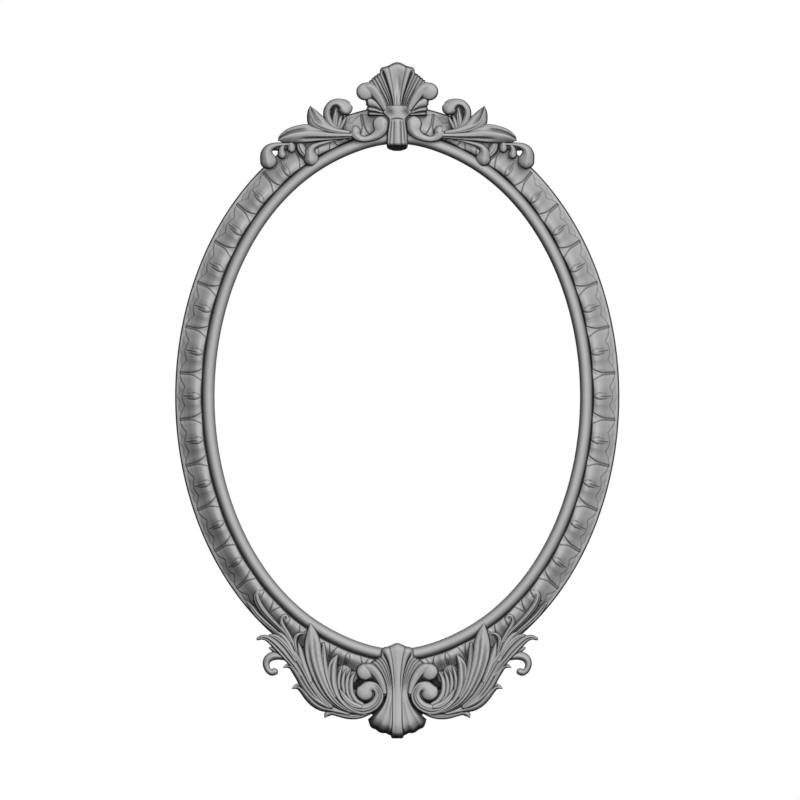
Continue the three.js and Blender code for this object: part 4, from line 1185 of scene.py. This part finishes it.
# %% Shell of the foot
BASE_FAN = {
    0: [[0, -332.3], [0, -350], [0, -368], [0, -387], [0, -406.2], [0, -425], [0, -443], [0, -461.6]],
    0.3: [
        [11.5, -336.6], [7.6, -353], [5.3, -370], [4.2, -388], [3.9, -406.2], [3.9, -425], [4.3, -443],
        [5.4, -461.2],
    ],
    0.44: [
        [18.4, -338.2], [12, -354], [8.3, -370.3], [6.3, -387.7], [5.5, -406.2], [5.5, -424.5],
        [5.9, -442.5], [7.6, -460.4],
    ],
    0.5: [
        [21.8, -342.4], [14.4, -355.4], [9.8, -370.5], [7.2, -387.5], [6.3, -406.2], [6.3, -424],
        [6.8, -442], [9, -457.6],
    ],
    0.56: [
        [22.6, -349], [15.8, -357.6], [10.8, -370.5], [8, -387.2], [7.1, -406.1], [7.8, -423.5],
        [9, -441], [11.4, -456.2],
    ],
    0.75: [
        [28.8, -353.2], [21.3, -361.2], [15.2, -373.9], [11, -388.7], [10.5, -405.5], [13.5, -421.7],
        [18.5, -437.9], [24, -453],
    ],
    0.9: [
        [35, -357.2], [26, -365.6], [18.8, -377.5], [14.2, -391], [13.8, -405], [18, -418],
        [26, -431.5], [35.5, -446],
    ],
    1: [
        [38.7, -360.8], [29.5, -367.5], [21.8, -379], [17, -392.2], [16.6, -404.9], [20.4, -415.7],
        [28, -424.4], [39.6, -435.4],
    ],
}
WAIST = -405.0
BASE_RIBS = [0.61, 0.71, 0.81, 0.91]
FLARE_GROOVES = [0.64, 0.82]


def base_notch(across, along):
    upper = 0.012 * lines_at(across, BASE_RIBS, 0.03) * np.clip(1 - 2 * along, 0, 1) ** 6
    return upper + 0.022 * lines_at(across, FLARE_GROOVES, 0.04) * np.clip(2 * along - 1, 0, 1) ** 6


def base_shell_height(across, along, place_mm):
    """The crest's shell upside down: ribs above the waist, a middle ridge, flutes below it."""
    upper = step_up(0.45 - along, 0.08)
    lower = step_up(along - 0.62, 0.06)
    top = 42.0 + 3.5 * bell(along, 0.28) + 2.0 * bell(along - 0.85, 0.2)
    top += 2.5 * bell(across, 0.2) * (0.5 + 0.5 * upper)
    groove = bell(across - 0.28, 0.025) * upper
    top += 2.2 * bell(across - 0.38, 0.08) * upper - 1.4 * groove
    gap = bell(across - 0.5, 0.03) * step_up(along - 0.04, 0.03)
    top -= (5.5 * upper + 3.5 * (1 - upper)) * gap
    ribs = lines_at(across, BASE_RIBS, 0.03)
    top -= 2.4 * ribs * upper
    flutes = lines_at(across, FLARE_GROOVES, 0.05)
    top -= 1.8 * flutes * lower
    top -= 2.0 * step_up(across - 0.52, 0.02)
    top -= 3.0 * np.clip((across - 0.55) / 0.45, 0, 1) * step_up(along - 0.5, 0.06)
    edge = rim_fall(1 - along, 0.92, 9) + rim_fall(along, 0.8, 15)
    edge = np.maximum(edge, 8 * np.clip((across - 0.88) / 0.12, 0, 1) ** 2)
    # painted shade in the gap, ribs, flutes and groove, and along the rims
    painted_shade = np.maximum((0.75 + 0.2 * upper) * gap, np.maximum(0.5 * ribs * upper, 0.25 * flutes * lower))
    painted_shade = np.maximum(painted_shade, 0.5 * groove)
    painted_shade += 0.5 * step_up(0.02 - along, 0.01) + 0.95 * step_up(along - 0.955, 0.014)
    painted_shade = np.maximum(painted_shade, 0.95 * step_up(across - 0.93, 0.03))
    return top - edge, painted_shade


BASE_EARS = [
    # the rolled end of an ear
    dict(points=[[43.8, -371.6, 11.6, 46], [43.2, -371.2, 11.6, 46]], ridge=(-0.3, -0.3), keel=0.2),
    # its stem, which runs down to the waist
    dict(points=[
        [45, -368, 4.6, 43], [41, -366.4, 6.6, 46.5], [36.4, -366.8, 6.8, 48], [30, -371.8, 6.4, 47.5],
        [24.6, -379.5, 5.8, 46.5], [20.4, -388.6, 4.8, 45], [17.4, -399, 3.6, 43],
    ], ridge=(-0.4, -0.2), keel=0.8),
    # dark sheets: painted shade in the hollows behind it and below the waist
    dict(points=[[36, -378, 8.5, 30], [27, -390, 8, 30]], shade_all_over=1),
    dict(points=[[20, -400, 3.5, 30], [22, -412, 4.5, 30], [32, -425, 4.5, 29]], shade_all_over=1),
]
fan = carved_sheet(BASE_FAN, base_shell_height, "base_fan", 160, 150, WAIST, base_notch)
mesh = carve(BASE_EARS, "base_shell", both_sides=True, sheets=[fan])
piece(mesh, "carved_base_shell", "base_shell")

# %% Volutes, blades, acanthus and hooks of the foot
CONCENTRIC = [(0.45, 0.14, 2.6, 0.0, 0.8), (-0.05, 0.13, 2.4, 0.0, 0.75)]
BASE_SIDES = {
    "base_volute": [
        # two dark sheets: painted shade in the hollows behind the volute
        dict(points=[[46, -402, 12, 26], [30, -404, 12, 26]], shade_all_over=1),
        dict(points=[[50, -386, 6.5, 26], [57, -390, 6, 26]], shade_all_over=1),
        # the volute, from its stem to the ball in its eye
        dict(points=[
            [71, -411, 8, 39], [62, -417.4, 8.4, 40], [52, -421.2, 8.4, 41], [42, -421.4, 7.8, 42],
            [33, -417.4, 7.4, 43], [26.8, -410.4, 7.2, 43.5], [24.6, -402.6, 6.8, 44],
            [27, -395.6, 6.2, 44.5], [32.4, -391.4, 6.6, 45], [39, -392.4, 9, 45.5],
            [43.6, -398.6, 12.2, 46],
        ], cuts=CONCENTRIC, ridge=(0.2, -0.1), keel=0.5),
    ],
    "base_blade": [
        dict(points=[
            [117, -305.8, 0.7, 40], [116.2, -314, 5.4, 42], [115, -324, 9.5, 43.5],
            [114.4, -334, 11.5, 44], [113.6, -346, 11.9, 44], [111.2, -359, 11.4, 43.5],
            [107, -373, 10.6, 43], [101.4, -387, 9.2, 42], [94.6, -400, 7.4, 41], [86, -411, 5.6, 40],
            [76, -419, 4, 39], [64, -425, 2.8, 38],
        ], cuts=[(0.45, 0.17, 3.4, 0.3, 1), (-0.3, 0.15, 2.6, 0.2, 1)], ridge=(0.1, -0.1), keel=0.9),
    ],
    "base_acanthus": [
        # the ground behind the leaves
        dict(points=[[97, -366, 9, 24], [86, -400, 9, 24]]),
        dict(points=[[72, -372, 11, 24], [74, -396, 11, 24], [66, -408, 9, 24]]),
        dict(points=[[60, -378, 8, 24], [62, -400, 8, 24]]),
        # a thin leaf beside the blade
        dict(points=[
            [99.6, -333.6, 2.6, 33], [99.2, -345, 3.7, 35], [98.4, -359, 4.4, 37], [96, -374, 4.6, 38],
            [91, -390, 4.2, 38], [84.4, -404, 3.4, 38],
        ], cuts=[(0.3, 0.12, 1, 0, 1)], keel=0.9),
        # the main leaf, which runs down under the volute
        dict(points=[
            [80.4, -348.4, 0.7, 35], [84, -354.6, 4.6, 37], [87, -362.4, 6.5, 39], [88, -372, 7.1, 40],
            [88, -383, 7.1, 40.5], [86.2, -393.5, 6.8, 40.5], [82, -404, 6.2, 40],
            [75, -413.4, 5.2, 39.5], [66, -421, 4.2, 39], [54, -425.6, 3.2, 38.5], [43, -428.6, 2, 38],
        ], cuts=[(0.3, 0.2, 3, 0.15, 0.95)], ridge=(-0.3, -0.2), keel=0.9),
        # four small leaves between it and the volute
        dict(points=[
            [74.2, -363, 0.8, 32], [77.6, -373, 2.7, 34], [79.2, -384, 3, 35], [78.2, -396, 2.6, 35],
        ], keel=0.8),
        dict(points=[
            [68.6, -366.6, 0.8, 32], [72.4, -377, 2.8, 34.5], [73.6, -388, 3.2, 36],
            [71.6, -400, 3, 36],
        ], keel=0.8),
        dict(points=[
            [63.2, -369.6, 0.9, 32], [67, -380, 3, 35], [68.2, -391, 3.3, 36.5], [66, -403, 3.2, 37],
            [60, -411, 2.6, 37],
        ], keel=0.8),
        dict(points=[
            [56.6, -371.6, 1.2, 32], [61.4, -381, 3.4, 35.5], [62.6, -392, 3.8, 37.5],
            [60.8, -402, 4, 38.5], [55, -410.5, 3.6, 39], [47, -415, 2.6, 39],
        ], ridge=(-0.2, -0.2), keel=0.8),
        # a leaf that folds over the volute's stem
        dict(points=[
            [77.4, -394.6, 0.8, 39], [73.6, -402, 3.4, 41], [68, -409.4, 4.4, 42],
            [59.6, -415.6, 4.4, 42], [50, -418.6, 3.4, 42],
        ], cuts=[(0.1, 0.15, 1.4, 0.1, 0.9)], keel=0.8),
    ],
    "base_foliage": [
        # a dark sheet: painted shade on the ground along the lower rim
        dict(points=[
            [112, -402, 7, 24], [98, -414, 6, 24], [80, -424, 4.5, 24], [56, -428.4, 3.4, 26],
            [40, -427, 3, 26],
        ], shade_all_over=1),
        # the lower hooked leaf
        dict(points=[
            [141.4, -393.8, 1, 31], [136.6, -391.4, 3.4, 33], [131, -391.8, 5.2, 35],
            [124.6, -397, 6.6, 36], [118.2, -404.8, 7.2, 37], [110.4, -412.6, 7.1, 37],
            [101, -418.2, 6.4, 37], [90, -421.4, 4.8, 36.5], [78, -424.6, 3.4, 36],
            [66, -427.6, 2.4, 36],
        ], cuts=[(-0.15, 0.24, 3, 0.12, 0.8)], ridge=(0.3, 0.2), keel=0.9),
        # a small leaf at the lower rim
        dict(points=[
            [97.4, -432.4, 1.2, 31], [94.8, -428.4, 3.8, 33], [88.4, -426, 3.8, 34],
            [80, -428.2, 3.5, 35], [69, -431, 3.7, 35.5], [58, -432, 3.5, 36], [48, -430.6, 3.2, 36],
            [38, -427, 2.6, 36],
        ], cuts=[(-0.2, 0.18, 1.6, 0.2, 0.9)], keel=0.8),
        # the upper hooked leaf
        dict(points=[
            [153, -365.4, 1, 31], [148.4, -363.2, 3, 33], [142.6, -363.8, 4.6, 35],
            [136.8, -369, 6.2, 36], [131.4, -377.5, 6.4, 37], [126, -387, 6.8, 37.5],
            [120, -396, 6.4, 38], [112, -405, 5.8, 38], [102, -413, 4.8, 38], [91, -418.8, 3.4, 37],
        ], cuts=[(-0.15, 0.24, 3, 0.12, 0.8)], ridge=(0.3, 0.1), keel=0.9),
        # two leaves between the hooked ones and the blade
        dict(points=[
            [133, -333, 1, 33], [131, -343, 4.2, 35], [127.5, -356, 5.4, 37], [123, -370, 5, 38],
            [117, -384, 3.4, 38],
        ], keel=0.8),
        dict(points=[
            [144.4, -340, 3.4, 34], [140, -349, 6.4, 36.5], [134.6, -358, 7.5, 38],
            [129, -367.5, 7.8, 38.5], [123.4, -378, 7.6, 39], [117.4, -389, 7, 39], [110, -400, 6, 39],
            [101, -410, 5, 38.5], [90, -418.4, 3.4, 38],
        ], cuts=[(0.25, 0.18, 2.4, 0, 0.8), (-0.35, 0.14, 1.6, 0.1, 1)], ridge=(-0.1, -0.1), keel=0.9),
    ],
    "base_hook": [
        # three tips that point up and outwards
        dict(points=[
            [187.8, -326.8, 2.2, 30], [182, -324.8, 3.3, 32], [175, -326.2, 4.3, 33.5],
            [167.5, -331.6, 5.4, 35], [160, -338.8, 6.2, 36], [153, -346.5, 6, 37], [146, -355, 5, 37],
            [138, -365, 4, 37], [130, -376, 2.8, 36],
        ], cuts=[(0.2, 0.24, 2.6, 0.12, 0.95)], ridge=(-0.1, -0.1), keel=0.9),
        dict(points=[
            [172, -321.6, 1.4, 31], [164, -324.2, 3.6, 33], [156, -330, 4.4, 34.5],
            [149, -337.5, 4.4, 36], [143, -346, 3.8, 37], [137, -356, 2.6, 37],
        ], cuts=[(0.1, 0.2, 1.6, 0.1, 0.95)], keel=0.9),
        dict(points=[
            [162, -317.6, 1.2, 30], [155, -322.6, 3.2, 32], [149, -329.4, 3.6, 33.5],
            [144, -338, 3.4, 35], [139.6, -347, 2.6, 35],
        ], keel=0.8),
        # the curl that hangs outside them
        dict(points=[
            [165.6, -371.2, 5, 29], [169.6, -372.2, 4.4, 28.5], [174.4, -368.6, 4.1, 28.5],
            [176.8, -361, 4.7, 29], [174.2, -353.8, 5.5, 30], [167, -349.8, 6, 31],
            [158, -349.6, 5.6, 32], [149, -352.2, 4.6, 33], [140, -357.6, 3.2, 34],
        ], ridge=(0, 0.2), keel=0.8),
        # a short tip above the curl
        dict(points=[
            [171.4, -339.2, 1.8, 28], [167, -341, 3.6, 30], [160, -344.4, 4.2, 31],
            [151, -349.4, 3.6, 32],
        ], keel=0.8),
    ],
    "base_tendril": [
        # the outermost tendril
        dict(points=[
            [202, -277, 1, 24], [197, -284, 3.3, 25], [189.5, -294.3, 3.9, 26.5],
            [179, -304.6, 3.8, 28], [168, -314, 3.2, 30], [158, -322, 2.2, 31],
        ], cuts=[(0, 0.15, 2.6, 0.1, 1)], keel=0.7),
        # the one that curls over inwards
        dict(points=[
            [181.4, -265, 1.4, 29], [184.4, -262.8, 2.5, 29], [188.4, -264.8, 3.5, 29],
            [189.6, -271.5, 4.5, 29], [185.8, -281.5, 4.7, 29.5], [178.8, -291.5, 4.5, 30],
            [169.8, -301.5, 4, 30.5], [160.4, -310.8, 3.4, 31], [150.6, -320.4, 3, 32],
            [143.4, -331, 2.4, 33],
        ], cuts=[(0.42, 0.2, 2.6, 0.3, 1), (-0.4, 0.08, 0.8, 0.3, 1)], ridge=(-0.2, -0.1), keel=0.8),
        # two small curls nearer to the blade
        dict(points=[
            [149.6, -301, 1.6, 30], [147.8, -298, 2, 30], [150.6, -295.4, 2.4, 30],
            [155, -297.6, 2.8, 30], [156.4, -303.4, 3.1, 30], [153.6, -310.4, 3.1, 30.5],
            [148.4, -318.4, 2.9, 31], [143.4, -327, 2.5, 32], [139.8, -336, 2, 32.5],
        ], cuts=[(0.3, 0.14, 1.4, 0.35, 1)], keel=0.7),
        dict(points=[
            [124.6, -319.4, 1, 30.5], [130.5, -319.6, 1.9, 30.5], [136, -322.8, 2.8, 31],
            [138.4, -330, 3.3, 31.5], [137.6, -338.4, 3.1, 32.5], [134.4, -347, 2.2, 33],
            [131, -355, 1.2, 33],
        ], cuts=[(0, 0.14, 1.4, 0.3, 1)], keel=0.7),
    ],
}
carve_pairs(BASE_SIDES)

# %% [markdown]
# ## Materials of the nodes that stay
#
# Screws, turn buttons, hangers, pads and the tongues in the joints keep the shape of their CAD
# nodes, and only get a material.

# %% Materials for the CAD nodes that stay
FINISHES = {"joint_spline": bare_beech, "wall_bumper": black_felt,
            "turn_button": zinc_steel, "hanger": zinc_steel}
for name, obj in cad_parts.items():
    finish = next((FINISHES[start] for start in FINISHES if name.startswith(start)), None)
    if "screw" in name:
        finish = zinc_steel
    if finish and not obj.hide_render:
        obj.data.materials.clear()
        obj.data.materials.append(finish)

# %% [markdown]
# ## Stage, light and camera
#
# The photograph looks straight at the frame from the front, with no perspective to speak of, so
# the camera is orthographic. One soft sun from the upper right front gives the same light and
# shade on every leaf round the oval. The carving throws almost no shadow in the photograph, so
# about half of that light comes from a second lamp at the same place that casts none. A third one
# lights the back, and a weak even sky keeps the shadows from going black. The floor lies just
# under the foot, and the background is white for the camera and in reflections only.

# %% Camera
PHOTO_PIXELS = 800
MM_PER_PIXEL = 1.348
MIDDLE_IN_PHOTO = (397.25, 396.4)  # pixels from the left and from the top
from_middle = [(PHOTO_PIXELS / 2 - pixels) * MM_PER_PIXEL * MM for pixels in MIDDLE_IN_PHOTO]
camera_data = bpy.data.cameras.new("camera")
camera_data.type = "ORTHO"
camera_data.ortho_scale = PHOTO_PIXELS * MM_PER_PIXEL * MM
camera = bpy.data.objects.new("camera", camera_data)
bpy.context.scene.collection.objects.link(camera)
camera.location = (from_middle[0], -3.0, -from_middle[1])
camera.rotation_euler = (math.pi / 2, 0, 0)
bpy.context.scene.camera = camera
print("picture is %.3f m wide" % camera_data.ortho_scale)

# %% Lights
TO_KEY = (0.30, -0.78, 0.55)
TO_BACK = (-0.25, 0.95, 0.2)


def sun(name, towards_light, strength, softness, shadow=True):
    data = bpy.data.lights.new(name, "SUN")
    data.energy = strength
    data.use_shadow = shadow
    data.angle = math.radians(softness)
    obj = bpy.data.objects.new(name, data)
    bpy.context.scene.collection.objects.link(obj)
    obj.rotation_euler = Vector(towards_light).to_track_quat("Z", "Y").to_euler()


sun("key", TO_KEY, 1.6, 38)
sun("fill", TO_KEY, 2.0, 38, shadow=False)
sun("back", TO_BACK, 2.2, 20)
print("lamps:", [lamp.name for lamp in bpy.data.lights])

# %% World: white for the camera and reflections, a weak grey sky for the rest
WHITE = (1, 1, 1, 1)
world = bpy.data.worlds.new("studio")
bpy.context.scene.world = world
world.use_nodes = True
world.node_tree.nodes.clear()
graph = Graph(world.node_tree)
seen = graph.add("ShaderNodeLightPath").outputs
in_reflections = graph.math("MAXIMUM", seen["Is Glossy Ray"], seen["Is Transmission Ray"])
seen_directly = graph.math("MAXIMUM", seen["Is Camera Ray"], in_reflections)
white = graph.add("ShaderNodeBackground", {"Color": WHITE, "Strength": 1.0})
sky = graph.add("ShaderNodeBackground", {"Color": WHITE, "Strength": 0.07})
mixed = graph.add("ShaderNodeMixShader", {0: seen_directly, 1: sky.outputs[0], 2: white.outputs[0]})
graph.add("ShaderNodeOutputWorld", {"Surface": mixed.outputs[0]})

# %% Floor
FLOOR_DROP = 0.0015  # m below the foot
FLOOR_PALE = (0.87, 0.87, 0.87, 1)
FLOOR_GREY = (0.84, 0.84, 0.84, 1)
bm = bmesh.new()
bmesh.ops.create_grid(bm, x_segments=4, y_segments=4, size=2.5)
floor_mesh = mesh_from(bm, "floor")
floor = bpy.data.objects.new("floor", floor_mesh)
bpy.context.scene.collection.objects.link(floor)
floor.location = (0, 0, cad_low[2] - FLOOR_DROP)
floor_paint, graph, shader = new_material("floor_paint", FLOOR_GREY)
cloud = graph.noise(graph.on_object(), 3.0, 2.0, 0.5)
graph.feed(shader.inputs["Base Color"], graph.mix(cloud, FLOOR_GREY, FLOOR_PALE))
shader.inputs["Roughness"].default_value = 0.9
floor_mesh.materials.append(floor_paint)
floor.visible_diffuse = False

# %% View settings
bpy.context.scene.view_settings.view_transform = "Standard"
